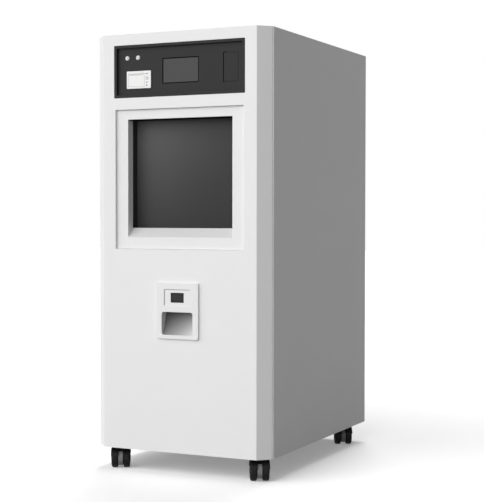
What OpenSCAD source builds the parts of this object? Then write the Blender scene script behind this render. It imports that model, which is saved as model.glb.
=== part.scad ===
// Low-temperature plasma sterilizer on four twin-wheel casters.
// Origin: on the floor, under the middle of the whole machine. +Z up, the front faces -Y,
// +X is to the right of someone who stands in front of it. Millimetres.

/* [Cabinet] */
// Width of the cabinet
cab_w = 750; // [720:5:800]
// Depth of the cabinet, from front panel to rear panel
cab_d = 1030; // [1010:5:1100]
// Height of the cabinet without its casters
cab_h = 1600; // [1590:5:1680]
// Height of the cabinet's lower edge above the floor
ground_gap = 85; // [84:1:92]
// Leg of the 45 degree cut on each front corner
corner_cut = 47; // [40:1:49]
// Sheet of the side, top and rear panels
sheet = 1.5; // [1:0.1:2]
// Sheet of the front panel
front_t = 2; // [1.5:0.1:3]
// Seam between neighbouring panels
seam = 1; // [0.6:0.1:2]
// Square tube of the welded frame
tube = 30; // [26:1:32]
// Wall of the frame tube
tube_wall = 2; // [1.5:0.1:3]

/* [Control panel] */
// Width of the opening for the control panel
panel_w = 560; // [550:1:570]
// Height of the opening for the control panel
panel_h = 202; // [198:1:206]
// Height of the panel's middle above the cabinet's lower edge
panel_mid = 1457; // [1450:1:1462]
// Width of the bezel's rim
rim = 11; // [9:0.5:13]
// Depth of the fascia behind the front
fascia_depth = 12; // [10:0.5:14]
// Width of the screen
lcd_w = 149; // [140:1:156]
// Height of the screen
lcd_h = 90; // [84:1:96]
// Width of the printer's front
printer_w = 106.5; // [104:0.5:112]
// Height of the printer's front
printer_h = 67; // [65:0.5:72]
// Diameter of the two push buttons
button_d = 15; // [12:0.5:17]
// Width of the service flap
flap_w = 59; // [50:1:62]
// Height of the service flap
flap_h = 107; // [96:1:112]

/* [Door and chamber] */
// Width of the opening in the door surround
mouth_w = 447; // [440:1:452]
// Height of the opening in the door surround, at its front edge
mouth_h = 452; // [448:1:456]
// Height of the opening's lower edge above the cabinet's lower edge
mouth_low = 821; // [815:1:826]
// Width of the surround's face beside the opening
surround_face = 50; // [44:1:52]
// Step from the front panel back to the surround's face
surround_step = 10; // [6:0.5:12]
// Depth of the surround's white throat
white_depth = 36; // [30:1:40]
// Depth of the black throat behind it
black_depth = 34; // [30:1:38]
// Width of the chamber inside
chamber_w = 440; // [420:1:444]
// Height of the chamber inside
chamber_h = 412; // [390:1:414]
// Depth of the chamber inside
chamber_d = 745; // [700:5:760]
// Wall of the chamber
chamber_wall = 6; // [5:0.5:8]
// How far the stiffening ribs stand out from the chamber
rib_h = 28; // [20:1:28]
// Number of stiffening ribs round the chamber
rib_count = 5; // [4:1:6]
// Thickness of the door plate
door_t = 22; // [18:1:24]
// Thickness of the dark glass on the door
glass_t = 6; // [4:0.5:7]
// How far the door slides down
door_travel = 460; // [455:1:462]

/* [Cassette drawer] */
// Width of the drawer's front plate
plate_w = 180; // [176:1:186]
// Height of the drawer's front plate
plate_h = 214; // [210:1:220]
// Height of the plate's lower edge above the cabinet's lower edge
plate_low = 435.5; // [430:0.5:440]
// How far the plate stands out from the front panel
plate_proud = 9; // [7:0.5:10]
// Width of the finger scoop
scoop_w = 132; // [126:1:136]
// Height of the finger scoop
scoop_h = 87; // [80:1:90]
// Depth of the finger scoop
scoop_depth = 34; // [28:1:36]

/* [Casters] */
// Diameter of the wheels
wheel_d = 75; // [72:1:76]
// Width of one wheel
wheel_w = 22; // [18:1:24]
// Gap between the two wheels of a caster
wheel_gap = 18; // [16:1:20]
// Distance from the swivel axis to the wheel axle
caster_trail = 37; // [32:1:38]
// Swivel of the casters away from straight ahead, in degrees
caster_turn = 28; // [0:1:40]
// Distance of the swivel axes from the cabinet's middle plane
caster_x = 300; // [296:1:304]
// Distance of the swivel axes from the front and the rear panel
caster_inset = 84; // [80:1:88]

/* [Hidden] */
$fn = 48;
// Clearances
slide_gap = 0.3;
edge_gap = 0.5;
pin_gap = 0.05;

// Overall places
spigot_len = 25;
y_front = -(cab_d + spigot_len - plate_proud) / 2;
y_rear = y_front + cab_d;
z_low = ground_gap;
z_top = ground_gap + cab_h;
side_in = cab_w / 2 - sheet;
lip = 18;

// Control panel, seen from the front
panel_z = z_low + panel_mid;
fascia_w = panel_w - 2 * rim;
fascia_h = panel_h - 2 * rim;
fascia_t = 3;
fascia_y = y_front + fascia_depth;
fascia_back = fascia_y + fascia_t;
lcd_x = 4.5;
lcd_z = panel_z - 3;
lcd_rim = 2.5;
printer_x = -175;
printer_z = panel_z - 32.5;
printer_lip = 4;
printer_depth = 58;
paper_w = 70;
paper_h = 48;
paper_x = printer_x - 10.5;
paper_z = printer_z - 1.5;
paper_y = fascia_y - printer_lip;
paper_t = 2.5;
paper_barrel = 2.2;
roll_d = 32;
roll_len = 57;
key_x = printer_x + 36;
key_d = 11;
key_z = printer_z + 4.5;
power_x = -226.5;
start_x = -179.5;
buttons_z = panel_z + 52;
collar_d = button_d + 6;
collar_lip = 3;
button_travel = 3;
flap_x = 217;
flap_z = panel_z - 1;
flap_t = 3;
flap_barrel = 3;
flap_pin = 3;
port_depth = 14;

// Door surround and throat
mouth_x = mouth_w / 2;
mouth_z0 = z_low + mouth_low;
mouth_z1 = mouth_z0 + mouth_h;
surround_x = mouth_x + surround_face + 1;
surround_z0 = mouth_z0 - surround_face + 4;
surround_z1 = mouth_z1 + surround_face - 12;
surround_y = y_front + surround_step;
throat_y = surround_y + white_depth;
throat_end = throat_y + black_depth;
throat_t = 3;
throat_flange = 18;
sill_rise = white_depth - 1;
sill_z = mouth_z0 + sill_rise;

// Sliding door
glass_y = throat_end + edge_gap;
plate_y = glass_y + glass_t;
door_back = plate_y + door_t;
door_x = mouth_x + 38.5;
door_z0 = sill_z - 40;
door_z1 = mouth_z1 + 42;
door_mid = (door_z0 + door_z1) / 2;

// Chamber
flange_y = door_back + edge_gap;
flange_t = 18;
flange_back = flange_y + flange_t;
chamber_x = chamber_w / 2;
chamber_z1 = door_z1 - 44;
chamber_z0 = chamber_z1 - chamber_h;
chamber_end = flange_y + chamber_d;
back_t = 12;
rib_t = 8;
groove_w = 8;
groove_depth = 6;
seal_proud = 0.2;
seal_inset = 16;
port_r = 20;
port_z = chamber_z0 + 60;
port_x = -120;

// Electrode liner and shelves inside the chamber
liner_gap = 16;
liner_t = 1.5;
liner_x = chamber_x - liner_gap;
liner_z0 = chamber_z0 + liner_gap;
liner_z1 = chamber_z1 - liner_gap;
liner_y0 = flange_back + 10;
liner_y1 = chamber_end - 30;
hole_d = 14;
hole_pitch = 38;
runner_w = 12;
shelf_levels = [0.3, 0.66];
shelf_wire = 5;
shelf_bars = 15;

// Lift of the door: belts, pulleys and rails on both sides
pulley_teeth = 25;
belt_pitch = 5;
pulley_r = pulley_teeth * belt_pitch / (2 * PI);
belt_t = 2;
belt_w = 16;
belt_x = door_x + 14;
lift_y = plate_y + 10.5;
shaft_r = 6;
drive_z = z_low + 290;
idler_z = z_low + cab_h - 260;
arm_t = 10;
rail_w = 20;
rail_d = 15;
rail_x = door_x + 40;
block_w = 28;
rail_y = lift_y + arm_t / 2 + 10;
post_y = rail_y + rail_d;
block_h = 60;
block_reach = 110;

// Welded frame
frame_in = side_in - slide_gap;
frame_x = frame_in - tube;
frame_front = y_front + corner_cut + 15;
frame_rear = y_rear - sheet - slide_gap;
frame_top = z_top - 2 * (sheet + slide_gap);
cradle_z = chamber_z0 - chamber_wall - rib_h;
shelf_z = chamber_z1 + chamber_wall + rib_h + 20;

// Cassette drawer
plate_z = z_low + plate_low + plate_h / 2;
plate_y0 = y_front - plate_proud;
plate_back = y_front - slide_gap;
bay_w = plate_w - 20;
bay_h = plate_h - 20;
bay_t = 1.5;
bay_depth = 70;
tray_w = bay_w - 8;
scoop_z = plate_z - plate_h / 2 + 15 + scoop_h / 2;
scoop_t = 2;
window_w = 55;
window_h = 36;
window_z = plate_z + 50;
recess_w = 112;
recess_h = 63;
recess_depth = 2;
cassette_w = 130;
cassette_h = 150;
cassette_t = 18;

// Casters
axle_z = wheel_d / 2;
hood_gap = 1.5;
hood_t = 2;
caster_plate = 78;
caster_plate_t = 3;
stem_r = 11;
axle_r = 5;
corners = [[-1, -1], [1, -1], [-1, 1], [1, 1]];

// Inner units
pan_z = z_low + tube + 3;
line_y = chamber_end + back_t + 60;
exhaust_x = port_x - 100;
vapor_x = 145;
vapor_z = chamber_z1 - 70;
vent_x = -130;
vent_z = chamber_z1 - 90;
feed_x = 0;
feed_z = chamber_z0 + 200;
pump_x = 75;
dock_y = y_front + 63;
line_x = 300;
bay_z0 = plate_z - bay_h / 2;
tray_z = bay_z0 + 6;
rf_w = 430;
rf_h = 88;
rf_d = 380;
rf_y = y_front + 240;

// Rear side
louvre_w = 150;
louvre_h = 8;
louvre_out = 6;
louvre_count = 10;
louvre_pitch = 22;
louvre_xs = [-210, -30, 150];
louvre_z = z_low + 700;
grille_rows = 7;
grille_pitch = 8;
inlet_w = 34;
inlet_h = 24;
switch_w = 22;
switch_h = 30;
fan_size = 120;
fan_hole = 113;
fan_depth = 38;
fan_x = 150;
fan_z = z_top - 130;
spigot_r = 12.5;
spigot_neck_r = spigot_r - 1;
spigot_flange = 3;
spigot_x = exhaust_x;
spigot_z = z_low + 470;
inlet_x = 210;
inlet_z = z_low + 110;
switch_z = inlet_z + 75;

// Block between two opposite corners
module block(a, b) {
    translate(a) cube(b - a);
}

// Block that is mirrored to both sides of the middle plane
module block_pair(a, b) {
    block(a, b);
    mirror([1, 0, 0]) block(a, b);
}

// Rectangle about the origin with rounded corners
module round_rect(w, h, r) {
    square([w - 2 * r, h], center = true);
    square([w, h - 2 * r], center = true);
    for (x = [-1, 1], z = [-1, 1])
        translate([x * (w / 2 - r), z * (h / 2 - r)]) circle(r);
}

// Stands an outline up in the XZ plane and gives it thickness t towards the rear
module upright(x, y, z, t) {
    translate([x, y + t, z]) rotate([90, 0, 0]) linear_extrude(t) children();
}

// Rounded plate that faces the front
module face_plate(x, y, z, w, h, t, r) {
    upright(x, y, z, t) round_rect(w, h, r);
}

// Rounded tube that faces the front, w by h inside
module face_tube(x, y, z, w, h, t, wall, r) {
    upright(x, y, z, t) difference() {
        round_rect(w + 2 * wall, h + 2 * wall, r + wall);
        round_rect(w, h, r);
    }
}

// Rod of radius r from a point along X, Y or Z
module rod_x(p, l, r) {
    translate(p) rotate([0, 90, 0]) cylinder(h = l, r = r);
}
module rod_y(p, l, r) {
    translate(p) rotate([-90, 0, 0]) cylinder(h = l, r = r);
}
module rod_z(p, l, r) {
    translate(p) cylinder(h = l, r = r);
}

// Pipe through a list of points, with round elbows
module pipe_run(points, r) {
    for (i = [0 : len(points) - 2]) {
        p = points[i];
        v = points[i + 1] - p;
        l = norm(v);
        translate(p)
            rotate([0, acos(v[2] / l), atan2(v[1], v[0])]) cylinder(h = l, r = r);
    }
    for (i = [1 : 1 : len(points) - 2])
        translate(points[i]) sphere(r * 1.04);
}

// Closed square tube between two corners, open along its long axis
module tube_z(x, y, z0, z1) {
    difference() {
        block([x, y, z0], [x + tube, y + tube, z1]);
        block([x + tube_wall, y + tube_wall, z0 - 1],
            [x + tube - tube_wall, y + tube - tube_wall, z1 + 1]);
    }
}
module tube_y(x, z, y0, y1) {
    difference() {
        block([x, y0, z], [x + tube, y1, z + tube]);
        block([x + tube_wall, y0 - 1, z + tube_wall],
            [x + tube - tube_wall, y1 + 1, z + tube - tube_wall]);
    }
}
module tube_x(y, z, x0, x1) {
    difference() {
        block([x0, y, z], [x1, y + tube, z + tube]);
        block([x0 - 1, y + tube_wall, z + tube_wall],
            [x1 + 1, y + tube - tube_wall, z + tube - tube_wall]);
    }
}

// Welded frame: base, four corner posts, two lift posts, chamber cradle and top ring
module frame() {
    post_low = z_low + tube;
    post_high = frame_top - tube;
    lift_x = rail_x - tube / 2;
    color("silver") {
        for (z = [z_low, post_high]) {
            for (s = [-frame_in, frame_x])
                tube_y(s, z, frame_front, frame_rear);
            for (y = [frame_front, post_y, frame_rear - tube])
                tube_x(y, z, -frame_x, frame_x);
        }
        for (s = [-frame_in, frame_x], y = [frame_front, frame_rear - tube])
            tube_z(s, y, post_low, post_high);
        for (s = [-lift_x - tube, lift_x])
            tube_z(s, post_y, post_low, post_high);
        for (s = [-frame_in, frame_x], z = [cradle_z - 2 * tube, shelf_z])
            tube_y(s, z, frame_front + tube, frame_rear - tube);
        for (i = [0, rib_count - 1])
            tube_x(rib_y(i) + (rib_t - tube) / 2, cradle_z - tube, -frame_in, frame_in);
        for (y = [rf_y + 10, rf_y + rf_d - tube - 10])
            tube_x(y, shelf_z, -frame_x, frame_x);
        tube_x(post_y, drive_z - tube / 2, -lift_x, lift_x);
        tube_x(y_rear - caster_inset - tube / 2, z_low, -frame_x, frame_x);
        tube_x(line_y - 280, z_low, -frame_x, frame_x);
        block([-frame_in, line_y - 280, z_low + tube], [frame_in, frame_rear - tube / 2, pan_z]);
    }
}

// Outline of the front panel in plan, with its two cut corners and return lips
function front_profile(t) =
    let (x = cab_w / 2, c = corner_cut, k = t * sqrt(2), j = t * tan(22.5))
    [[-x + lip, c], [-x, c], [-x + c, 0], [x - c, 0], [x, c], [x - lip, c],
     [x - lip, c - t], [x - t - k, c - t], [x - c - j, t], [-x + c + j, t],
     [-x + t + k, c - t], [-x + lip, c - t]];

module front_panel() {
    flat_x = cab_w / 2 - corner_cut - 4;
    surround_h = surround_z1 - surround_z0;
    surround_mid = (surround_z1 + surround_z0) / 2;
    color("white") difference() {
        union() {
            translate([0, y_front, z_low]) linear_extrude(cab_h) polygon(front_profile(front_t));
            block([-flat_x, y_front + front_t, z_top - front_t], [flat_x, y_front + lip, z_top]);
            block([-flat_x, y_front + front_t, z_low], [flat_x, y_front + lip, z_low + front_t]);
            face_plate(0, y_front + front_t, surround_mid, 2 * surround_x + 2 * front_t,
                surround_h + 2 * front_t, surround_step, 4);
        }
        face_plate(0, y_front - 1, surround_mid, 2 * surround_x, surround_h,
            surround_step + 5, 2);
        face_plate(0, y_front - 1, panel_z, panel_w, panel_h, 9, 2);
        face_plate(0, y_front - 1, plate_z, bay_w, bay_h, 9, 4);
    }
}

// Side panel: flat sheet with folded edges, on the right; the left one is its mirror image
module side_panel() {
    y0 = y_front + corner_cut + seam;
    x1 = cab_w / 2;
    x0 = x1 - lip;
    block([side_in, y0, z_low], [x1, y_rear, z_top]);
    block([x0, y_rear - sheet, z_low], [side_in, y_rear, frame_top + sheet]);
    block([x0, y0, frame_top + slide_gap], [side_in, y_rear - sheet, frame_top + slide_gap + sheet]);
    block([side_in - 10, y0, z_low], [side_in, y0 + sheet, frame_top]);
}

module left_side_panel() {
    color("lightgray") mirror([1, 0, 0]) side_panel();
}

module right_side_panel() {
    color("lightgray") side_panel();
}

// Top cover: it lies on the side panels' folded edges and follows the cut corners
module top_cover() {
    x2 = side_in - edge_gap;
    x1 = cab_w / 2 - lip - seam;
    inner = cab_w / 2 - corner_cut - front_t * sqrt(2) - 1.5 * seam;
    y0 = lip + seam;
    y1 = x1 - inner;
    y2 = corner_cut + seam;
    half = [[x1, y2], [x1, y1], [inner + y0, y0]];
    outline = concat([[x2, cab_d], [x2, y2]], half,
        [for (i = [2 : -1 : 0]) [-half[i][0], half[i][1]]], [[-x2, y2], [-x2, cab_d]]);
    color("lightgray") {
        translate([0, y_front, z_top - sheet]) linear_extrude(sheet) polygon(outline);
        block([-x1, y_rear - sheet, frame_top], [x1, y_rear, z_top - sheet]);
    }
}

// Pressed louvre that opens downwards, its slot's lower edge at z
module louvre_hood(x, z) {
    translate([x - louvre_w / 2, y_rear, z]) rotate([90, 0, 90]) linear_extrude(louvre_w)
        polygon([[0, louvre_h + 2], [louvre_out, 3], [louvre_out, 0],
            [louvre_out - sheet, 0], [louvre_out - sheet, 2], [0, louvre_h], [-sheet, louvre_h]]);
}

module louvre_slot(x, z) {
    block([x - louvre_w / 2, y_rear - 2 * sheet, z], [x + louvre_w / 2, y_rear + 1, z + louvre_h]);
}

// Round field of slots in front of a fan
module fan_grille(x) {
    upright(x, y_rear - 2 * sheet, fan_z, 3 * sheet) intersection() {
        circle(d = fan_hole);
        for (i = [-grille_rows : grille_rows])
            translate([-fan_hole / 2, (i - 0.25) * grille_pitch])
                square([fan_hole, grille_pitch / 2]);
    }
}

module rear_panel() {
    x1 = cab_w / 2 - lip - seam;
    color("lightgray") difference() {
        union() {
            block([-x1, y_rear - sheet, z_low], [x1, y_rear, frame_top - seam]);
            for (x = louvre_xs, i = [0 : louvre_count - 1])
                louvre_hood(x, louvre_z + i * louvre_pitch);
        }
        for (x = louvre_xs, i = [0 : louvre_count - 1])
            louvre_slot(x, louvre_z + i * louvre_pitch);
        for (s = [-1, 1]) fan_grille(s * fan_x);
        rod_y([spigot_x, y_rear - 5, spigot_z], 10, spigot_r + edge_gap);
        face_plate(inlet_x, y_rear - 5, inlet_z, inlet_w + 2 * edge_gap, inlet_h + 2 * edge_gap, 10, 3);
        face_plate(inlet_x, y_rear - 5, switch_z, switch_w + 2 * edge_gap,
            switch_h + 2 * edge_gap, 10, 2);
    }
}

// White frame round the door: face, three straight walls and the sloping sill
module door_surround() {
    t = throat_t;
    w = 2 * surround_x - 2 * edge_gap;
    h = surround_z1 - surround_z0 - 2 * edge_gap;
    color("white") {
        difference() {
            face_plate(0, surround_y, (surround_z0 + surround_z1) / 2, w, h, t, 2);
            block([-mouth_x, surround_y - 1, mouth_z0], [mouth_x, surround_y + t + 1, mouth_z1]);
        }
        block_pair([mouth_x, surround_y + t, mouth_z0 - t], [mouth_x + t, throat_y, mouth_z1 + t]);
        block([-mouth_x, surround_y + t, mouth_z1], [mouth_x, throat_y, mouth_z1 + t]);
        translate([-mouth_x, surround_y, mouth_z0]) rotate([90, 0, 90])
            linear_extrude(mouth_w) polygon([[0, 0], [white_depth, sill_rise],
                [white_depth, sill_rise - 2 * t], [2 * t, -t], [0, -t]]);
    }
}

// Black throat between the surround and the sliding door, with a flange round its rear end
module door_throat() {
    t = throat_t;
    h = mouth_z1 - sill_z;
    z = (mouth_z1 + sill_z) / 2;
    color([0.1, 0.1, 0.1]) {
        face_tube(0, throat_y, z, mouth_w, h, black_depth, t, 1);
        face_tube(0, throat_end - t, z, mouth_w + 2 * t, h + 2 * t, t, throat_flange, 2);
    }
}

// Black rim of the control panel with its flange behind the front and its ledge for the fascia
module control_bezel() {
    color([0.17, 0.17, 0.18]) {
        face_tube(0, y_front + seam, panel_z, fascia_w, fascia_h, fascia_back - y_front - seam,
            rim - edge_gap, 1);
        face_tube(0, y_front + front_t, panel_z, panel_w - 1, panel_h - 1, 3, 9, 3);
        face_tube(0, fascia_back, panel_z, fascia_w - 16, fascia_h - 16, 3, 8 + rim - edge_gap, 1);
    }
}

module flap_pins(gap) {
    translate([flap_x + flap_w / 2 - flap_barrel, fascia_y + flap_barrel, flap_z - flap_h / 2 - 5])
        cylinder(h = flap_h + 10, d = flap_pin + 2 * gap);
}

module control_fascia() {
    color([0.2, 0.2, 0.21]) difference() {
        face_plate(0, fascia_y, panel_z, fascia_w - 2 * edge_gap, fascia_h - 2 * edge_gap,
            fascia_t, 1);
        face_plate(lcd_x, fascia_y - 1, lcd_z, lcd_w + 2 * lcd_rim + 2 * edge_gap,
            lcd_h + 2 * lcd_rim + 2 * edge_gap, 9, 2);
        face_plate(printer_x, fascia_y - 1, printer_z, printer_w - 4, printer_h - 5, 9, 1);
        face_plate(flap_x, fascia_y - 1, flap_z, flap_w + 2 * edge_gap, flap_h + 2 * edge_gap, 9, 1);
        for (x = [power_x, start_x])
            rod_y([x, fascia_y - 1, buttons_z], 9, collar_d / 2 - 1.5 + edge_gap);
        flap_pins(pin_gap);
    }
}

// Screen with a narrow raised frame round its glass
module lcd_screen() {
    w = lcd_w + 2 * lcd_rim;
    h = lcd_h + 2 * lcd_rim;
    color([0.32, 0.32, 0.33]) {
        face_plate(lcd_x, fascia_y + 1.5, lcd_z, w, h, fascia_t - 1.5, 1.5);
        face_tube(lcd_x, fascia_y + 1, lcd_z, lcd_w, lcd_h, 0.6, lcd_rim, 0.5);
    }
}

// Housing of the touch screen, with cooling slots in its back
module hmi_housing() {
    color([0.15, 0.15, 0.15]) difference() {
        union() {
            face_plate(lcd_x, fascia_back, lcd_z, lcd_w + 22, lcd_h + 22, 3, 5);
            face_plate(lcd_x, fascia_back + 3, lcd_z, lcd_w + 8, lcd_h + 8, 28, 3);
        }
        for (i = [-6 : 6])
            block([lcd_x + i * 10 - 2, fascia_back + 27, lcd_z - 30],
                [lcd_x + i * 10 + 2, fascia_back + 40, lcd_z + 30]);
    }
}

module paper_door_axis(l, r) {
    rod_x([paper_x - l / 2, paper_y + paper_barrel, paper_z - paper_h / 2 + paper_barrel], l, r);
}

// Panel printer: front frame, paper bucket and print mechanism
module printer_body() {
    low = paper_z - paper_h / 2;
    color("whitesmoke") difference() {
        union() {
            face_plate(printer_x, paper_y, printer_z, printer_w, printer_h, printer_lip, 3);
            for (z = [15.5, 26.5]) face_plate(key_x, paper_y - 0.4, key_z - z, 8, 3.6, 1, 1.7);
            face_plate(printer_x, fascia_y, printer_z, printer_w - 5, printer_h - 6,
                printer_depth, 2);
        }
        face_plate(paper_x, paper_y - 1, paper_z, paper_w + 2 * slide_gap, paper_h + 2 * slide_gap,
            paper_t + 1, 0.5);
        block([paper_x - paper_w / 2 - slide_gap, paper_y - 1, low - slide_gap],
            [paper_x + paper_w / 2 + slide_gap, paper_y + 2 * paper_barrel + edge_gap,
             low + 2 * paper_barrel + edge_gap]);
        face_plate(paper_x, paper_y, paper_z, roll_len + 3, paper_h - 8, printer_depth - 5, 2);
        rod_y([key_x, paper_y - 1, key_z], 12, key_d / 2 + slide_gap);
        paper_door_axis(paper_w + 6, 1 + pin_gap);
    }
}

module paper_roll() {
    z = paper_z - paper_h / 2 + 4 + roll_d / 2 + slide_gap;
    color("white") difference() {
        rod_x([paper_x - roll_len / 2, paper_y + 28, z], roll_len, roll_d / 2);
        rod_x([paper_x - roll_len / 2 - 1, paper_y + 28, z], roll_len + 2, 6);
    }
}

// Paper door with its hinge barrel and pins along the lower edge
module printer_door() {
    low = paper_z - paper_h / 2;
    color("white") {
        difference() {
            block([paper_x - paper_w / 2, paper_y, low + paper_barrel],
                [paper_x + paper_w / 2, paper_y + paper_t, low + paper_h]);
            block([paper_x - roll_len / 2, paper_y - 1, low + paper_h - 4.5],
                [paper_x + roll_len / 2, paper_y + paper_t + 1, low + paper_h - 3]);
        }
        paper_door_axis(paper_w, paper_barrel);
        paper_door_axis(paper_w + 5, 1);
    }
}

module printer_button() {
    color("gainsboro") rod_y([key_x, paper_y - 0.8, key_z], 8, key_d / 2);
}

// Collars of the two push buttons, each with its contact block behind the fascia
module button_collars() {
    color("white") for (x = [power_x, start_x]) difference() {
        union() {
            rod_y([x, fascia_y - collar_lip, buttons_z], collar_lip, collar_d / 2);
            rod_y([x, fascia_y, buttons_z], 30, collar_d / 2 - 1.5);
            block([x - 13, fascia_y + 30, buttons_z - 13], [x + 13, fascia_y + 46, buttons_z + 13]);
        }
        rod_y([x, fascia_y - collar_lip - 1, buttons_z], 15 + button_travel,
            button_d / 2 + slide_gap);
    }
}

module push_button(x) {
    color("silver") difference() {
        rod_y([x, fascia_y - collar_lip - 1, buttons_z], 14, button_d / 2);
        rod_y([x, fascia_y - collar_lip - 2, buttons_z], 1.6, button_d / 2 - 2.5);
    }
}

// Hinged flap over the data sockets, with a finger notch on its free edge
module service_flap() {
    x1 = flap_x + flap_w / 2;
    color([0.2, 0.2, 0.21]) {
        difference() {
            face_plate(flap_x - flap_barrel / 2, fascia_y, flap_z, flap_w - flap_barrel, flap_h,
                flap_t, 2);
            rod_y([flap_x - flap_w / 2 - 1, fascia_y - 1, flap_z], flap_t + 2, 6);
        }
        translate([x1 - flap_barrel, fascia_y + flap_barrel, flap_z - flap_h / 2])
            cylinder(h = flap_h, r = flap_barrel);
        flap_pins(0);
    }
}

// Tray behind the flap with two data sockets and a network socket
module data_ports() {
    y1 = fascia_back + port_depth;
    x1 = flap_w / 2 + 4;
    z1 = flap_h / 2 + 9;
    color([0.13, 0.13, 0.14]) difference() {
        union() {
            difference() {
                block([flap_x - x1, fascia_back, flap_z - z1], [flap_x + x1, y1 + 2, flap_z + z1]);
                face_plate(flap_x, fascia_back - 1, flap_z, flap_w + 2 * edge_gap,
                    flap_h + 2 * edge_gap, port_depth + 1, 1);
            }
            face_plate(flap_x - 2, y1 - 5, flap_z, 34, 84, 20, 2);
        }
        for (z = [12, 30])
            block([flap_x - 9, y1 - 6, flap_z + z - 3.5], [flap_x + 5, y1 + 8, flap_z + z + 3.5]);
        block([flap_x - 10, y1 - 6, flap_z - 32], [flap_x + 6, y1 + 8, flap_z - 18]);
        flap_pins(pin_gap);
    }
}

function rib_y(i) = flange_back + (i + 0.5) * (chamber_end - flange_back) / rib_count;

// Rounded rectangle of the chamber's section, grown by g on every side
module chamber_section(g, r) {
    round_rect(chamber_w + 2 * g, chamber_h + 2 * g, r);
}

// Welded vacuum chamber: flange with seal groove, shell, ribs, back plate and its ports
module chamber() {
    z = (chamber_z0 + chamber_z1) / 2;
    color("silver") difference() {
        union() {
            face_plate(0, flange_y, door_mid, 2 * door_x, door_z1 - door_z0, flange_t, 8);
            upright(0, flange_back, z, chamber_end - flange_back)
                chamber_section(chamber_wall, 12);
            for (i = [0 : rib_count - 1])
                upright(0, rib_y(i), z, rib_t) chamber_section(chamber_wall + rib_h, 12);
            upright(0, chamber_end, z, back_t) chamber_section(chamber_wall + 8, 12);
        }
        upright(0, flange_y - 1, z, chamber_d + 1) chamber_section(0, 10);
        seal_ring(flange_y - 1, groove_depth + 1, edge_gap / 2);
        rod_y([port_x, chamber_end - 1, port_z], back_t + 2, port_r);
        rod_y([vapor_x, chamber_end - 1, vapor_z], back_t + 2, 8);
        rod_y([vent_x, chamber_end - 1, vent_z], back_t + 2, 10);
        rod_y([feed_x, chamber_end - 1, feed_z], back_t + 2, 15);
    }
}

// Ring that runs round the chamber's mouth, widened by g
module seal_ring(y, t, g) {
    upright(0, y, (chamber_z0 + chamber_z1) / 2, t) difference() {
        chamber_section(seal_inset + groove_w / 2 + g, 22);
        chamber_section(seal_inset - groove_w / 2 - g, 14);
    }
}

module chamber_seal() {
    color([0.15, 0.15, 0.15])
        seal_ring(flange_y - seal_proud, groove_depth + seal_proud, 0);
}

// Perforated electrode: a box of sheet, open at both ends, with the shelf runners on its sides
module electrode_liner() {
    liner_insulators();
    l = liner_y1 - liner_y0;
    h = liner_z1 - liner_z0;
    nx = floor((l - 40) / hole_pitch);
    nz = floor((h - 50) / hole_pitch);
    color("gainsboro") {
        for (s = [-1, 1])
            translate([s > 0 ? liner_x - liner_t : -liner_x, liner_y0, liner_z0])
                rotate([90, 0, 90]) linear_extrude(liner_t) difference() {
                    square([l, h]);
                    for (i = [0 : nx], k = [0 : nz])
                        translate([l / 2 + (i - nx / 2) * hole_pitch, h / 2 + (k - nz / 2) * hole_pitch])
                            circle(d = hole_d);
                }
        for (z = [liner_z0, liner_z1 - liner_t])
            block([-liner_x + liner_t, liner_y0, z], [liner_x - liner_t, liner_y1, z + liner_t]);
        for (level = shelf_levels)
            block_pair([liner_x - liner_t - runner_w, liner_y0 + 20, liner_z0 + level * h],
                [liner_x - liner_t, liner_y1 - 20, liner_z0 + level * h + 2]);
    }
}

// Ceramic standoffs that carry the electrode clear of the chamber's walls
module liner_insulators() {
    ys = [liner_y0 + 60, liner_y1 - 60];
    color("ivory") for (y = ys) {
        for (x = [-1, 1])
            rod_z([x * liner_x * 0.7, y, chamber_z0], liner_gap, 9);
        for (z = [0.25, 0.75], s = [0, 1])
            mirror([s, 0, 0])
                rod_x([liner_x, y, liner_z0 + z * (liner_z1 - liner_z0)], liner_gap, 8);
    }
}

// Two wire shelves on their runners
module wire_shelves() {
    r = shelf_wire / 2;
    x1 = liner_x - liner_t - slide_gap - r - 1;
    y0 = liner_y0 + 30;
    y1 = liner_y1 - 30;
    color("silver") for (level = shelf_levels)
        translate([0, 0, liner_z0 + level * (liner_z1 - liner_z0) + 2 + slide_gap + r]) {
            for (s = [-1, 1]) rod_y([s * x1, y0, 0], y1 - y0, r);
            for (y = [y0 + r, (y0 + y1) / 2, y1 - r]) rod_x([-x1, y, 0], 2 * x1, r);
            for (i = [0 : shelf_bars - 1])
                rod_y([(i + 1) * 2 * x1 / (shelf_bars + 1) - x1, y0, 0], y1 - y0, r * 0.6);
        }
}

module door_glass() {
    color([0.12, 0.12, 0.13])
        face_plate(0, glass_y, door_mid, 2 * door_x - 10, door_z1 - door_z0 - 10, glass_t, 6);
}

// Door plate, thinned behind so that its rim bears on the seal
module door_plate() {
    color("silver") difference() {
        face_plate(0, plate_y, door_mid, 2 * door_x, door_z1 - door_z0, door_t, 8);
        face_plate(0, door_back - 6, door_mid, chamber_w - 20, chamber_h - 20, 7, 10);
    }
}

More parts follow.
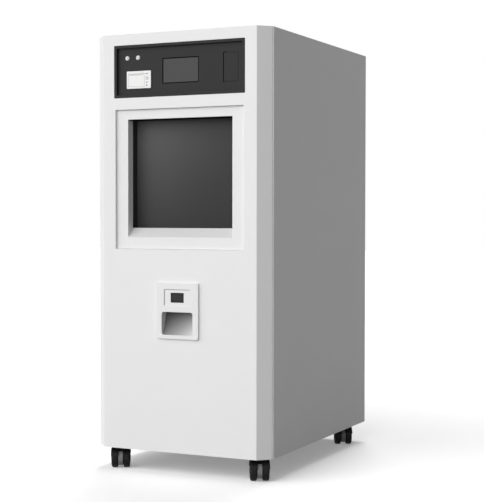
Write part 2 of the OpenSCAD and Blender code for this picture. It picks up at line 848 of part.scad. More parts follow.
// Arms that reach through the belt loops, with the rail blocks and belt clamps
module door_carriage() {
    x1 = rail_x + block_w / 2;
    y0 = lift_y - arm_t / 2;
    y1 = lift_y + arm_t / 2;
    reach = block_reach + block_h / 2;
    belt_in = lift_y - pulley_r + belt_t / 2 + slide_gap;
    color("slategray") for (s = [0, 1]) mirror([s, 0, 0]) {
        block([door_x, y0, door_mid - reach], [x1, y1, door_mid + reach]);
        block([belt_x - belt_w / 2, belt_in, door_mid - 25], [belt_x + belt_w / 2, y0, door_mid + 25]);
        for (k = [-1, 1]) difference() {
            block([rail_x - block_w / 2, y1, door_mid + k * block_reach - block_h / 2],
                [x1, rail_y + 8, door_mid + k * block_reach + block_h / 2]);
            block([rail_x - rail_w / 2 - slide_gap, rail_y - slide_gap, door_mid - 2 * reach],
                [rail_x + rail_w / 2 + slide_gap, rail_y + 9, door_mid + 2 * reach]);
        }
    }
}

// Profile rails on the lift posts
module door_rails() {
    reach = block_reach + block_h / 2 + 25;
    w = rail_w / 2;
    z0 = door_mid - reach - door_travel;
    color("silver") for (s = [0, 1]) mirror([s, 0, 0])
        translate([rail_x, rail_y, z0]) linear_extrude(door_mid + reach - z0)
            polygon([[-w, 0], [-w, 3], [-w + 2.5, 5.5], [-w + 2.5, 8], [-w, 10.5], [-w, rail_d],
                [w, rail_d], [w, 10.5], [w - 2.5, 8], [w - 2.5, 5.5], [w, 3], [w, 0]]);
}

// Closed belt loop round the drive and the idler pulley
module belt_loop(r) {
    for (z = [drive_z, idler_z]) translate([lift_y, z]) circle(r);
    translate([lift_y - r, drive_z]) square([2 * r, idler_z - drive_z]);
}

module drive_belts() {
    color([0.1, 0.1, 0.1]) for (s = [-1, 1])
        translate([s * belt_x - belt_w / 2, 0, 0]) rotate([90, 0, 90]) linear_extrude(belt_w)
            difference() {
                belt_loop(pulley_r + belt_t / 2);
                belt_loop(pulley_r - belt_t / 2);
            }
}

// Toothed pulley between two flanges, centred on the X axis
module pulley() {
    tip = pulley_r - belt_t / 2 - slide_gap;
    w = belt_w + 1;
    rotate([0, 90, 0]) {
        translate([0, 0, -w / 2]) linear_extrude(w) difference() {
            circle(tip);
            for (i = [0 : pulley_teeth - 1])
                rotate(i * 360 / pulley_teeth) translate([tip + 0.2, 0]) circle(r = 1.3, $fn = 8);
        }
        for (z = [-w / 2 - 1.5, w / 2]) translate([0, 0, z]) cylinder(h = 1.5, r = pulley_r + 2.5);
        translate([0, 0, -w / 2 - 1.5]) cylinder(h = w + 3, r = shaft_r + 4);
    }
}

// Cross shaft with a pulley at each side
module lift_shaft(z) {
    l = 2 * (rail_x + 22);
    color("silver") {
        rod_x([-l / 2, lift_y, z], l, shaft_r);
        for (s = [-1, 1]) translate([s * belt_x, lift_y, z]) pulley();
    }
}

module drive_shaft() {
    lift_shaft(drive_z);
}

module idler_shaft() {
    lift_shaft(idler_z);
}

// Bearing blocks of both shafts, on the front of the lift posts
module lift_bearings() {
    color("dimgray") for (s = [0, 1], z = [drive_z, idler_z]) mirror([s, 0, 0]) difference() {
        union() {
            block([rail_x - 11, lift_y, z - 15], [rail_x + 13, post_y, z + 15]);
            rod_x([rail_x - 11, lift_y, z], 24, 15);
            block([rail_x - 11, post_y - 5, z - 28], [rail_x + 13, post_y, z + 28]);
        }
        rod_x([rail_x - 12, lift_y, z], 26, shaft_r + pin_gap);
    }
}

// Worm gearbox on the drive shaft with its motor hanging below
module gearmotor() {
    y0 = lift_y - 26;
    color([0.25, 0.3, 0.35]) difference() {
        union() {
            block([-30, y0, drive_z - 34], [30, post_y, drive_z + 30]);
            rod_x([-38, lift_y, drive_z], 76, 18);
            rod_z([0, lift_y, drive_z - 42], 8, 32);
            rod_z([0, lift_y, drive_z - 160], 118, 29);
            for (i = [0 : 7]) rod_z([0, lift_y, drive_z - 150 + i * 12], 4, 31);
            block([15, lift_y - 18, drive_z - 112], [42, lift_y + 18, drive_z - 68]);
        }
        rod_x([-40, lift_y, drive_z], 80, shaft_r + pin_gap);
    }
}

// Rotary vane pump: motor, pump block, oil casing, feet and inlet flange
module vacuum_pump() {
    z0 = pan_z;
    mid = z0 + 95;
    color([0.35, 0.4, 0.45]) {
        rod_y([port_x, line_y - 320, mid], 230, 75);
        for (i = [0 : 11]) rod_y([port_x, line_y - 300 + i * 16, mid], 5, 80);
        rod_y([port_x, line_y - 90, mid], 30, 60);
        block([port_x - 130, line_y - 60, z0 + 12], [port_x + 85, line_y + 60, z0 + 180]);
        rod_z([port_x, line_y, z0 + 180], 40, 24);
        rod_z([port_x, line_y, z0 + 210], 10, 32);
        rod_z([exhaust_x, line_y, z0 + 180], 20, 20);
        for (x = [-120, 45], y = [-50, 25])
            block([port_x + x, line_y + y, z0], [port_x + x + 25, line_y + y + 25, z0 + 12]);
        for (x = [-55, 35])
            block([port_x + x, line_y - 260, z0], [port_x + x + 20, line_y - 220, z0 + 45]);
    }
}

// Oil mist filter on the pump's outlet, with the exhaust pipe to the rear panel
module oil_mist_filter() {
    z0 = pan_z + 200;
    y = line_y;
    color("darkgray") difference() {
        union() {
            rod_z([exhaust_x, y, z0], 8, 30);
            rod_z([exhaust_x, y, z0 + 8], 160, 42);
            rod_z([exhaust_x, y, z0 + 168], 10, 46);
            rod_z([exhaust_x, y, z0 + 178], 20, 14);
            pipe_run([[exhaust_x, y, z0 + 190], [exhaust_x, y, spigot_z],
                [exhaust_x, y_rear, spigot_z]], spigot_neck_r);
            rod_y([spigot_x, y_rear - sheet - 3, spigot_z], 3, spigot_r + 8);
            rod_y([spigot_x, y_rear, spigot_z], spigot_flange, spigot_r + 6);
            rod_y([spigot_x, y_rear - 1, spigot_z], spigot_len, spigot_neck_r);
            rod_y([spigot_x, y_rear + spigot_flange + 1, spigot_z], spigot_len - spigot_flange - 1,
                spigot_r);
        }
        rod_y([spigot_x, y_rear - 15, spigot_z], 20 + spigot_len, spigot_r - 2.5);
    }
}

// Suction line from the chamber to the pump, with the shut-off valve
module vacuum_line() {
    y0 = chamber_end + back_t;
    color("silver") {
        rod_y([port_x, y0, port_z], 10, port_r + 14);
        pipe_run([[port_x, y0, port_z], [port_x, line_y, port_z],
            [port_x, line_y, pan_z + 230]], port_r);
        rod_z([port_x, line_y, pan_z + 220], 10, 32);
        for (i = [0 : 9]) rod_z([port_x, line_y, pan_z + 260 + i * 12], 6, port_r + 6);
        rod_z([port_x, line_y, port_z - 200], 90, port_r + 14);
        rod_x([port_x + 20, line_y, port_z - 155], 75, 22);
        rod_x([port_x + 95, line_y, port_z - 155], 40, 30);
    }
}

// Heated vaporizer block on the back of the chamber
module vaporizer() {
    y0 = chamber_end + back_t;
    color("goldenrod") {
        block([vapor_x - 42, y0, vapor_z - 40], [vapor_x + 42, y0 + 62, vapor_z + 40]);
        rod_y([vapor_x, y0 + 62, vapor_z], 12, 20);
        for (z = [-22, 22]) rod_y([vapor_x - 20, y0 + 62, vapor_z + z], 25, 6);
        rod_x([vapor_x + 42, y0 + 32, vapor_z], 12, 7);
    }
}

// Dosing pump beside the lift, with the sterilant line from the cassette to the vaporizer
module dosing_unit() {
    z0 = drive_z + tube / 2;
    y0 = chamber_end + back_t + 32;
    color("steelblue") {
        block([pump_x - 35, post_y, z0], [pump_x + 35, post_y + 60, z0 + 70]);
        rod_z([pump_x, post_y + 30, z0 + 70], 25, 22);
        rod_y([pump_x - 15, post_y - 6, z0 + 45], 6, 5);
    }
    color("white") {
        pipe_run([[pump_x - 15, dock_y, bay_z0 - bay_t], [pump_x - 15, dock_y, z0 + 45],
            [pump_x - 15, post_y, z0 + 45]], 3);
        pipe_run([[pump_x, post_y + 30, z0 + 95], [pump_x, post_y + 30, z0 + 180],
            [line_x, post_y + 130, z0 + 180], [line_x, post_y + 130, vapor_z],
            [line_x, y0, vapor_z], [vapor_x + 54, y0, vapor_z]], 3);
    }
}

// Round air filter with the vent valve, on the back of the chamber
module hepa_filter() {
    y0 = chamber_end + back_t;
    color("whitesmoke") {
        rod_y([vent_x, y0, vent_z], 30, 12);
        block([vent_x - 22, y0 + 14, vent_z - 22], [vent_x + 22, y0 + 44, vent_z + 22]);
        rod_z([vent_x, y0 + 29, vent_z + 22], 40, 16);
        rod_y([vent_x, y0 + 44, vent_z], 14, 12);
        rod_y([vent_x, y0 + 58, vent_z], 60, 62);
        for (i = [0 : 3]) rod_y([vent_x, y0 + 64 + i * 14, vent_z], 6, 65);
    }
}

// Radio-frequency generator on its shelf, its cable and the matching box on the chamber
module rf_unit() {
    z0 = shelf_z + tube;
    y1 = rf_y + rf_d;
    yb = chamber_end + back_t;
    color("gray") {
        difference() {
            block([-rf_w / 2, rf_y, z0], [rf_w / 2, y1, z0 + rf_h]);
            for (i = [-9 : 9])
                block([i * 20 - 4, rf_y - 1, z0 + 20], [i * 20 + 4, rf_y + 8, z0 + rf_h - 20]);
        }
        for (i = [0 : 17])
            block([-rf_w / 2 + 20 + i * 23, rf_y + 60, z0 + rf_h],
                [-rf_w / 2 + 23 + i * 23, y1 - 60, z0 + rf_h + 18]);
        block([feed_x - 60, yb, feed_z - 65], [feed_x + 60, yb + 90, feed_z + 65]);
        rod_z([feed_x, yb + 45, feed_z + 65], 14, 9);
        rod_y([feed_x, y1, z0 + rf_h / 2], 14, 9);
        pipe_run([[feed_x, y1 + 10, z0 + rf_h / 2], [feed_x, yb + 45, z0 + rf_h / 2],
            [feed_x, yb + 45, feed_z + 70]], 5);
    }
}

// Mounting plate on the left of the frame with controller, supply and breakers
module control_electronics() {
    x0 = -frame_x;
    y0 = rf_y + 40;
    z0 = shelf_z + tube / 2;
    color("darkseagreen") {
        block([x0, y0, shelf_z + tube], [x0 + 2, y0 + 520, frame_top - 5]);
        for (z = [z0 + 60, z0 + 155]) block([x0 + 2, y0 + 20, z], [x0 + 10, y0 + 500, z + 35]);
        block([x0 + 10, y0 + 30, z0 + 30], [x0 + 75, y0 + 160, z0 + 125]);
        block([x0 + 10, y0 + 175, z0 + 30], [x0 + 60, y0 + 300, z0 + 125]);
        for (i = [0 : 8])
            block([x0 + 10, y0 + 320 + i * 18, z0 + 35], [x0 + 65, y0 + 336 + i * 18, z0 + 120]);
        for (i = [0 : 23])
            block([x0 + 10, y0 + 40 + i * 18, z0 + 145], [x0 + 50, y0 + 54 + i * 18, z0 + 195]);
    }
}

// Frames of the two fans, with hub plate and three struts each
module fan_frames() {
    y0 = y_rear - sheet - fan_depth;
    color([0.12, 0.12, 0.12]) for (s = [-1, 1]) difference() {
        face_plate(s * fan_x, y0, fan_z, fan_size, fan_size, fan_depth, 5);
        difference() {
            rod_y([s * fan_x, y0 - 1, fan_z], fan_depth + 2, fan_hole / 2);
            rod_y([s * fan_x, y0 + fan_depth - 5, fan_z], 5, 20);
            for (a = [30, 150, 270]) translate([s * fan_x, 0, fan_z]) rotate([0, a, 0])
                block([0, y0 + fan_depth - 5, -3], [fan_hole / 2 + 1, y0 + fan_depth, 3]);
        }
        rod_y([s * fan_x, y0 + fan_depth - 8, fan_z], 6, 3 + pin_gap);
    }
}

// Fan rotor with seven pitched blades round its hub and a stub shaft
module fan_rotor(x) {
    y0 = y_rear - sheet - fan_depth + 4;
    color([0.16, 0.16, 0.16]) translate([x, y0, fan_z]) {
        rod_y([0, 0, 0], 25, 21);
        rod_y([0, 24, 0], 8, 3);
        for (i = [0 : 6]) rotate([0, i * 360 / 7, 0]) intersection() {
            rod_y([0, 2, 0], 22, fan_hole / 2 - 3);
            translate([18, 12, 0]) rotate([35, 0, 0]) block([0, -1, -17], [45, 1, 17]);
        }
    }
}

module fan_rotor_left() {
    fan_rotor(-fan_x);
}

module fan_rotor_right() {
    fan_rotor(fan_x);
}

// Mains inlet with three contact blades, and the frame of the main switch above it
module mains_inlet() {
    y0 = y_rear - sheet;
    color([0.1, 0.1, 0.1]) {
        difference() {
            union() {
                face_plate(inlet_x, y_rear, inlet_z, inlet_w + 8, inlet_h + 8, 2.5, 3);
                face_plate(inlet_x, y0 - 28, inlet_z, inlet_w, inlet_h, 28 + sheet, 3);
            }
            face_plate(inlet_x, y0 - 18, inlet_z, inlet_w - 8, inlet_h - 8, 30, 2);
        }
        for (p = [[-8, -3], [0, 3], [8, -3]])
            block([inlet_x + p[0] - 1, y0 - 18, inlet_z + p[1] - 3],
                [inlet_x + p[0] + 1, y0 - 3, inlet_z + p[1] + 3]);
        difference() {
            union() {
                face_plate(inlet_x, y_rear, switch_z, switch_w + 4, switch_h + 4, 2, 2);
                face_plate(inlet_x, y0 - 24, switch_z, switch_w, switch_h, 24 + sheet, 2);
            }
            face_plate(inlet_x, y0 - 14, switch_z, switch_w - 4, switch_h - 4, 30, 1);
            rod_x([inlet_x - switch_w / 2 - 1, y_rear - 6, switch_z], switch_w + 2, 1.5 + pin_gap);
        }
    }
}

// Rocker of the main switch on its pivot pin
module switch_rocker() {
    w = switch_w - 5;
    h = switch_h - 7;
    color([0.5, 0.1, 0.1]) {
        translate([inlet_x - w / 2, y_rear - 6, switch_z]) rotate([90, 0, 90]) linear_extrude(w)
            polygon([[-5, -4], [0, -h / 2 + 1], [4, -h / 2], [7.5, 0], [8, h / 2 - 1],
                [0, h / 2 - 1], [-5, 4]]);
        rod_x([inlet_x - switch_w / 2, y_rear - 6, switch_z], switch_w, 1.5);
    }
}

// Bay of the cassette drawer behind the front panel, with its ledges and docking block
module cassette_housing() {
    y0 = y_front + front_t;
    y1 = y_front + bay_depth;
    side = (bay_w - tray_w) / 2 - slide_gap;
    color("gainsboro") {
        face_tube(0, y0, plate_z, bay_w, bay_h, y1 - y0, bay_t, 4);
        face_tube(0, y0, plate_z, bay_w + 2 * bay_t, bay_h + 2 * bay_t, bay_t, 10, 4);
        face_plate(0, y1 - bay_t, plate_z, bay_w + 1, bay_h + 1, bay_t, 4);
        block_pair([bay_w / 2 - side, y0, tray_z], [bay_w / 2, y1 - bay_t, tray_z + 20]);
        block_pair([30, y0, bay_z0], [55, y1 - bay_t, tray_z - slide_gap]);
        block([pump_x - 27, y1 - 12, bay_z0], [pump_x - 3, y1 - bay_t, bay_z0 + 45]);
    }
}

// Finger scoop of the drawer, grown by g: deep at the top, running out to the plate below
module scoop_shape(g) {
    s = scoop_depth - 4;
    r = (scoop_h * scoop_h + s * s) / (2 * s);
    intersection() {
        face_plate(0, plate_y0 - 1, scoop_z, scoop_w + 2 * g, scoop_h + 2 * g,
            scoop_depth + 1 + g, 9 + g);
        rod_x([-plate_w, plate_y0 + scoop_depth - r, scoop_z + scoop_h / 2], 2 * plate_w, r + g);
    }
}

// Drawer: front plate with scoop and window seat, and the tray behind it
module drawer_front() {
    cheek = 2.5;
    y1 = y_front + bay_depth - 14;
    color("white") difference() {
        union() {
            face_plate(0, plate_y0, plate_z, plate_w, plate_h, plate_back - plate_y0, 8);
            intersection() {
                scoop_shape(scoop_t);
                block([-plate_w, plate_y0 + 1, z_low], [plate_w, y_rear, z_top]);
            }
            block([-tray_w / 2, plate_back, tray_z], [tray_w / 2, y1, tray_z + cheek]);
            block_pair([tray_w / 2 - cheek, plate_back, tray_z], [tray_w / 2, y1, tray_z + 60]);
            block([-tray_w / 2, y1 - cheek, tray_z], [tray_w / 2, y1, tray_z + 30]);
        }
        scoop_shape(0);
        face_plate(0, plate_y0 - 1, window_z, recess_w, recess_h, recess_depth + 1, 3);
        face_plate(0, plate_y0, window_z, window_w + 2 * edge_gap, window_h + 2 * edge_gap, 6, 1);
    }
}

// Dark window set in the recess of the drawer's front
module drawer_window() {
    color([0.15, 0.15, 0.16])
        face_plate(0, plate_y0 + 3, window_z, window_w, window_h, 3, 1);
}

// Sterilant cassette with its ten cells, standing in the tray
module cassette() {
    y0 = plate_y0 + scoop_depth + scoop_t + 1;
    z = tray_z + 2.5 + cassette_h / 2;
    color("lightyellow") {
        face_plate(0, y0 + 2, z, cassette_w, cassette_h, cassette_t - 2, 6);
        for (i = [0 : 4], s = [-1, 1])
            rod_y([s * 30, y0, z + (i - 2) * 27], 2, 10);
    }
}

// Top plates of the casters with their bolts
module caster_plates() {
    z0 = z_low - caster_plate_t;
    color("dimgray") for (c = corners)
        translate(caster_place(c)) difference() {
            union() {
                translate([-caster_plate / 2, -caster_plate / 2, z0])
                    cube([caster_plate, caster_plate, caster_plate_t]);
                for (x = [-1, 1], y = [-1, 1])
                    translate([x * 31, y * 31, z0 - 2.5]) cylinder(h = 2.5, r = 5.5, $fn = 6);
            }
            translate([0, 0, z0 - 1]) cylinder(h = caster_plate_t + 2, r = 6 + pin_gap);
        }
}

function caster_place(c) = [c[0] * caster_x,
    c[1] < 0 ? y_front + caster_inset : y_rear - caster_inset, 0];

// Swivelling hood of a caster: king pin, bearing disc, web and mudguard
module caster_hood(c) {
    z0 = z_low - caster_plate_t;
    guard = wheel_d / 2 + hood_gap + hood_t;
    wide = 2 * wheel_w + wheel_gap + 4;
    web = wheel_gap - 2;
    color([0.12, 0.12, 0.12]) translate(caster_place(c)) rotate([0, 0, caster_turn]) difference() {
        union() {
            translate([0, 0, z0 - slide_gap]) cylinder(h = slide_gap + 2, r = 6);
            translate([0, 0, z0 - 7]) cylinder(h = 7 - slide_gap, r = 27);
            intersection() {
                rod_x([-web / 2, -caster_trail, axle_z], web, guard);
                block([-web, -caster_trail - 12, 10], [web, 30, z0 - 3]);
            }
            block([-web / 2, -caster_trail, axle_z + 10], [web / 2, stem_r, z0 - 3]);
            difference() {
                rod_x([-wide / 2, -caster_trail, axle_z], wide, guard);
                rod_x([-wide / 2 - 1, -caster_trail, axle_z], wide + 2, guard - hood_t);
                block([-wide, -200, -2 * guard], [wide, 100, axle_z + 14]);
            }
        }
        rod_x([-wide, -caster_trail, axle_z], 2 * wide, axle_r + pin_gap);
        block([-wide, -200, z0 - slide_gap], [-6.5, 200, z_low + 5]);
        block([6.5, -200, z0 - slide_gap], [wide, 200, z_low + 5]);
    }
}

// Wheel with a rounded tread and a hub cap on its outer side, axis along X
module caster_wheel() {
    r = wheel_d / 2;
    e = 5;
    rotate([0, 90, 0]) {
        rotate_extrude($fn = 64) {
            square([r - e, wheel_w]);
            translate([0, e]) square([r, wheel_w - 2 * e]);
            for (z = [e, wheel_w - e]) translate([r - e, z]) circle(e, $fn = 32);
        }
        translate([0, 0, wheel_w]) cylinder(h = 2, r1 = 13, r2 = 10);
    }
}

// Pair of wheels with their common axle
module caster_wheels(c) {
    color([0.1, 0.1, 0.1]) translate(caster_place(c)) rotate([0, 0, caster_turn])
        translate([0, -caster_trail, axle_z]) {
            for (s = [0, 1]) mirror([s, 0, 0]) translate([wheel_gap / 2, 0, 0]) caster_wheel();
            rod_x([-wheel_gap / 2 - 1, 0, 0], wheel_gap + 2, axle_r);
        }
}

module caster_hood_fl() {
    caster_hood(corners[0]);
}

module caster_hood_fr() {
    caster_hood(corners[1]);
}

module caster_hood_rl() {
    caster_hood(corners[2]);
}

module caster_hood_rr() {
    caster_hood(corners[3]);
}

module caster_wheels_fl() {
    caster_wheels(corners[0]);
}

module caster_wheels_fr() {
    caster_wheels(corners[1]);
}

module caster_wheels_rl() {
    caster_wheels(corners[2]);
}

module caster_wheels_rr() {
    caster_wheels(corners[3]);
}

module power_button() {
    push_button(power_x);
}

module start_button() {
    push_button(start_x);
}

frame();
front_panel();
left_side_panel();
right_side_panel();
top_cover();
rear_panel();
door_surround();
door_throat();
control_bezel();
control_fascia();
lcd_screen();
hmi_housing();
printer_body();
paper_roll();
printer_door();
printer_button();
button_collars();
power_button();
start_button();
service_flap();
data_ports();
chamber();
chamber_seal();
electrode_liner();
wire_shelves();
door_glass();
door_plate();
door_carriage();
door_rails();
drive_belts();
drive_shaft();
idler_shaft();
lift_bearings();
gearmotor();
vacuum_pump();
oil_mist_filter();
vacuum_line();
vaporizer();
dosing_unit();
hepa_filter();
rf_unit();
control_electronics();
fan_frames();
fan_rotor_left();
fan_rotor_right();
mains_inlet();
switch_rocker();
cassette_housing();
drawer_front();
drawer_window();
cassette();
caster_plates();
caster_hood_fl();
caster_hood_fr();
caster_hood_rl();
caster_hood_rr();
caster_wheels_fl();
caster_wheels_fr();
caster_wheels_rl();
caster_wheels_rr();
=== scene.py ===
"""Looks of a low temperature plasma sterilizer on casters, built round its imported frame."""
from math import acos, cos, pi, radians, sin, sqrt, tan

import bmesh
import bpy
from bpy.props import FloatProperty, FloatVectorProperty, IntProperty, PointerProperty
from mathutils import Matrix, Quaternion, Vector
from mathutils.geometry import tessellate_polygon


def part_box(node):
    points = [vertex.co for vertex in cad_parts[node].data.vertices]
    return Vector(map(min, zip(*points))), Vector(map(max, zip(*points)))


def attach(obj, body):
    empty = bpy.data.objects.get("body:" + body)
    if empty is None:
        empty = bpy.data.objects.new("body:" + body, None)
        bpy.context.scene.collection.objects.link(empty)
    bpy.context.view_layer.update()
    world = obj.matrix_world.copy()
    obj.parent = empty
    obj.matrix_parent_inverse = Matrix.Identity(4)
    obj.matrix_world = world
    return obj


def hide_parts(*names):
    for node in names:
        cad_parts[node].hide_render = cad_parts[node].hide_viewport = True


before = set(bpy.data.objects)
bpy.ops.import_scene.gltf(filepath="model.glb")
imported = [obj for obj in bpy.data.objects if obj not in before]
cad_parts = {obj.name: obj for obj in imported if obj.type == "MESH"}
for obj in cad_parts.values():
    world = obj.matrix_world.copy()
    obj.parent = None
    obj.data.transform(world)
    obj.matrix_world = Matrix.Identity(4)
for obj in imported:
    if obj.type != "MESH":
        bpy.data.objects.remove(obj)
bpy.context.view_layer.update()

bl_info = {
    "name": "Plasma sterilizer looks",
    "version": (1, 0, 0),
    "blender": (4, 5, 0),
    "location": "View3D > Sidebar > Sterilizer",
    "description": "Builds the cabinet, panel, door, drawer and casters of a plasma sterilizer",
    "category": "Object",
}

MM = 0.001


def span(node):
    """Lowest and highest corner of a node of the frame, in millimetres."""
    low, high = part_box(node)
    return [v / MM for v in low], [v / MM for v in high]


def middle(node):
    low, high = span(node)
    return [(a + b) / 2 for a, b in zip(low, high)]


def face_of(node):
    """Middle (x, z), width and height of a node as seen from the front."""
    low, high = span(node)
    return (low[0] + high[0]) / 2, (low[2] + high[2]) / 2, high[0] - low[0], high[2] - low[2]


# Places taken from the frame, in millimetres
(_, FRONT, LOW), (SIDE, _, HIGH) = span("front_panel")
REAR = span("right_side_panel")[1][1]
PANEL_Z = middle("control_bezel")[2]
FASCIA = span("control_fascia")[0][1]


# Settings


def number(ending):
    """Maker of settings whose descriptions end in the same unit."""
    return lambda name, text, value: FloatProperty(name=name, description=text + ending, default=value)


size, angle, strength = number(", in mm"), number(", in degrees"), number("")


def shade(name, text, *value):
    return FloatVectorProperty(name=name, description=text, subtype="COLOR", size=3, default=value)


class CabinetSettings(bpy.types.PropertyGroup):
    corner_cut: size("Corner cut", "Width of the cut corners in plan", 47)
    sheet: size("Front sheet", "Thickness of the front panel", 2)
    side_sheet: size("Side sheet", "Thickness of the side panels", 1.5)
    bend: size("Bend radius", "Outer radius of the sheet's bends", 3)
    lip: size("Lip", "Width of the folded lips", 18)
    edge: size("Edge", "Rounding of cut sheet edges", 0.8)
    screws: IntProperty(name="Screws", description="Screws on each side of the rear panel", default=6)


class ControlSettings(bpy.types.PropertyGroup):
    face_w: size("Face width", "Width of the face inside the bezel", 538)
    face_h: size("Face height", "Height of the face inside the bezel", 180)
    rim: size("Rim", "Width of the bezel's rim", 10.5)
    # Painted shade: the black rim round the screen is its recess's shadow line.
    gasket: size("Gasket", "Width of the dark line round the screen", 3.5)
    button: size("Button", "Diameter of the push buttons", 11.5)
    collar: size("Collar", "Diameter of the collars", 17)


class DoorSettings(bpy.types.PropertyGroup):
    mouth_w: size("Opening width", "Width of the door's opening", 447)
    mouth_low: size("Opening low", "Lower edge of the opening", 906)
    mouth_high: size("Opening high", "Upper edge of the opening", 1358)
    wall: size("Wall", "Wall of the surround", 3)
    depth: size("Depth", "Depth of the white walls", 36)
    # Painted shade: the black strip under the opening's top wall stands for shade; it is no real seal.
    seal: size("Seal strip", "Height of the black strip at the top", 3.5)


class DrawerSettings(bpy.types.PropertyGroup):
    scoop_w: size("Scoop width", "Width of the finger scoop", 132)
    scoop_h: size("Scoop height", "Height of the finger scoop", 87)
    scoop_rise: size("Scoop rise", "Height of the scoop above the plate's foot", 15)
    scoop_depth: size("Scoop depth", "Depth of the scoop at its top", 34)
    scoop_foot: size("Scoop foot", "Depth of the scoop at its foot", 4)
    corner: size("Corner", "Corner radius of the plate", 8)


class CasterSettings(bpy.types.PropertyGroup):
    swivel: angle("Swivel", "Turn of the casters from straight ahead", 28)
    width: size("Wheel width", "Width of one wheel", 26)
    gap: size("Wheel gap", "Gap between the two wheels", 20)
    trail: size("Trail", "Distance from the swivel axis to the axle", 37)


class FinishSettings(bpy.types.PropertyGroup):
    paint: shade("Paint", "Paint of the cabinet", 0.8, 0.8, 0.8)
    plastic: shade("Plastic", "Plastic of the surround and the drawer", 0.785, 0.785, 0.785)
    panel: shade("Panel", "Plastic of the control panel", 0.02, 0.02, 0.02)
    screen: shade("Screen", "Glass of the screen", 0.044, 0.044, 0.045)
    printer: shade("Printer", "Plastic of the printer and the collars", 0.825, 0.825, 0.82)
    tyre: shade("Tyre", "Tyres and guards of the casters", 0.007, 0.007, 0.007)


class StageSettings(bpy.types.PropertyGroup):
    lens: size("Lens", "Focal length", 91.97)
    key: strength("Key light", "Strength of the low light from the front left", 4.85)
    top: strength("Top light", "Strength of the light from above and behind", 1.25)
    sky: strength("Sky", "Strength of the even light", 0.1)
    floor: strength("Floor", "Brightness of the floor as it lights the object", 0.3)
    shine: strength("Floor shine", "Light added to the floor as the camera sees it", 0.24)


SETTINGS = {
    "ps_cabinet": CabinetSettings,
    "ps_control": ControlSettings,
    "ps_door": DoorSettings,
    "ps_drawer": DrawerSettings,
    "ps_caster": CasterSettings,
    "ps_finish": FinishSettings,
    "ps_stage": StageSettings,
}


# Outlines, as lists of points (u, v) that run anticlockwise


def arc(u, v, r, start, end, steps):
    angles = [radians(start + (end - start) * i / steps) for i in range(steps + 1)]
    return [(u + r * cos(a), v + r * sin(a)) for a in angles]


def rounded(u, v, w, h, r, steps=6):
    x, y = w / 2 - r, h / 2 - r
    corners = [(x, -y, -90), (x, y, 0), (-x, y, 90), (-x, -y, 180)]
    return [p for cx, cy, a in corners for p in arc(u + cx, v + cy, r, a, a + 90, steps)]


def circle(u, v, r, steps=32):
    return arc(u, v, r, 0, 360 - 360 / steps, steps - 1)


def offset_point(q, a, b, d):
    """Corner q between the directions a and b, moved to their right by d."""
    a, b = Vector((a.y, -a.x)), Vector((b.y, -b.x))
    return tuple(q + (a + b) * (d / (1 + a.dot(b))))


def grown(loop, d):
    """The closed outline with each side moved outwards by d."""
    out = []
    for i, point in enumerate(loop):
        p, q, r = Vector(loop[i - 1]), Vector(point), Vector(loop[(i + 1) % len(loop)])
        out.append(offset_point(q, (q - p).normalized(), (r - q).normalized(), d))
    return out


def shifted(path, d):
    """The open path moved to its right by d."""
    out = []
    for i, point in enumerate(path):
        q = Vector(point)
        a = (q - Vector(path[i - 1])).normalized() if i else None
        b = (Vector(path[i + 1]) - q).normalized() if i + 1 < len(path) else a
        out.append(offset_point(q, a or b, b, d))
    return out


def filleted(path, radii, steps=5):
    """The open path with an arc of the given radius at each inner point."""
    out = [tuple(path[0])]
    for i, r in enumerate(radii, 1):
        p, q, n = Vector(path[i - 1]), Vector(path[i]), Vector(path[i + 1])
        a, b = (p - q).normalized(), (n - q).normalized()
        half = acos(max(-1, min(1, a.dot(b)))) / 2
        centre = q + (a + b).normalized() * (r / sin(half))
        first, last = q + a * (r / tan(half)), q + b * (r / tan(half))
        for k in range(steps + 1):
            ray = (first - centre).lerp(last - centre, k / steps)
            out.append(tuple(centre + ray.normalized() * r))
    return out + [tuple(path[-1])]


def edge_steps(r, turns=(0, pi / 6, pi / 3, pi / 2)):
    """Steps (growth, depth) of a hole's wall round an edge of radius r."""
    return [(r * (1 - sin(a)), r * (1 - cos(a))) for a in turns]


def front_at(y):
    return lambda u, v, d: (u, y + d, v)


def side_at(x, sign):
    return lambda u, v, d: (sign * (x - d), u, v)


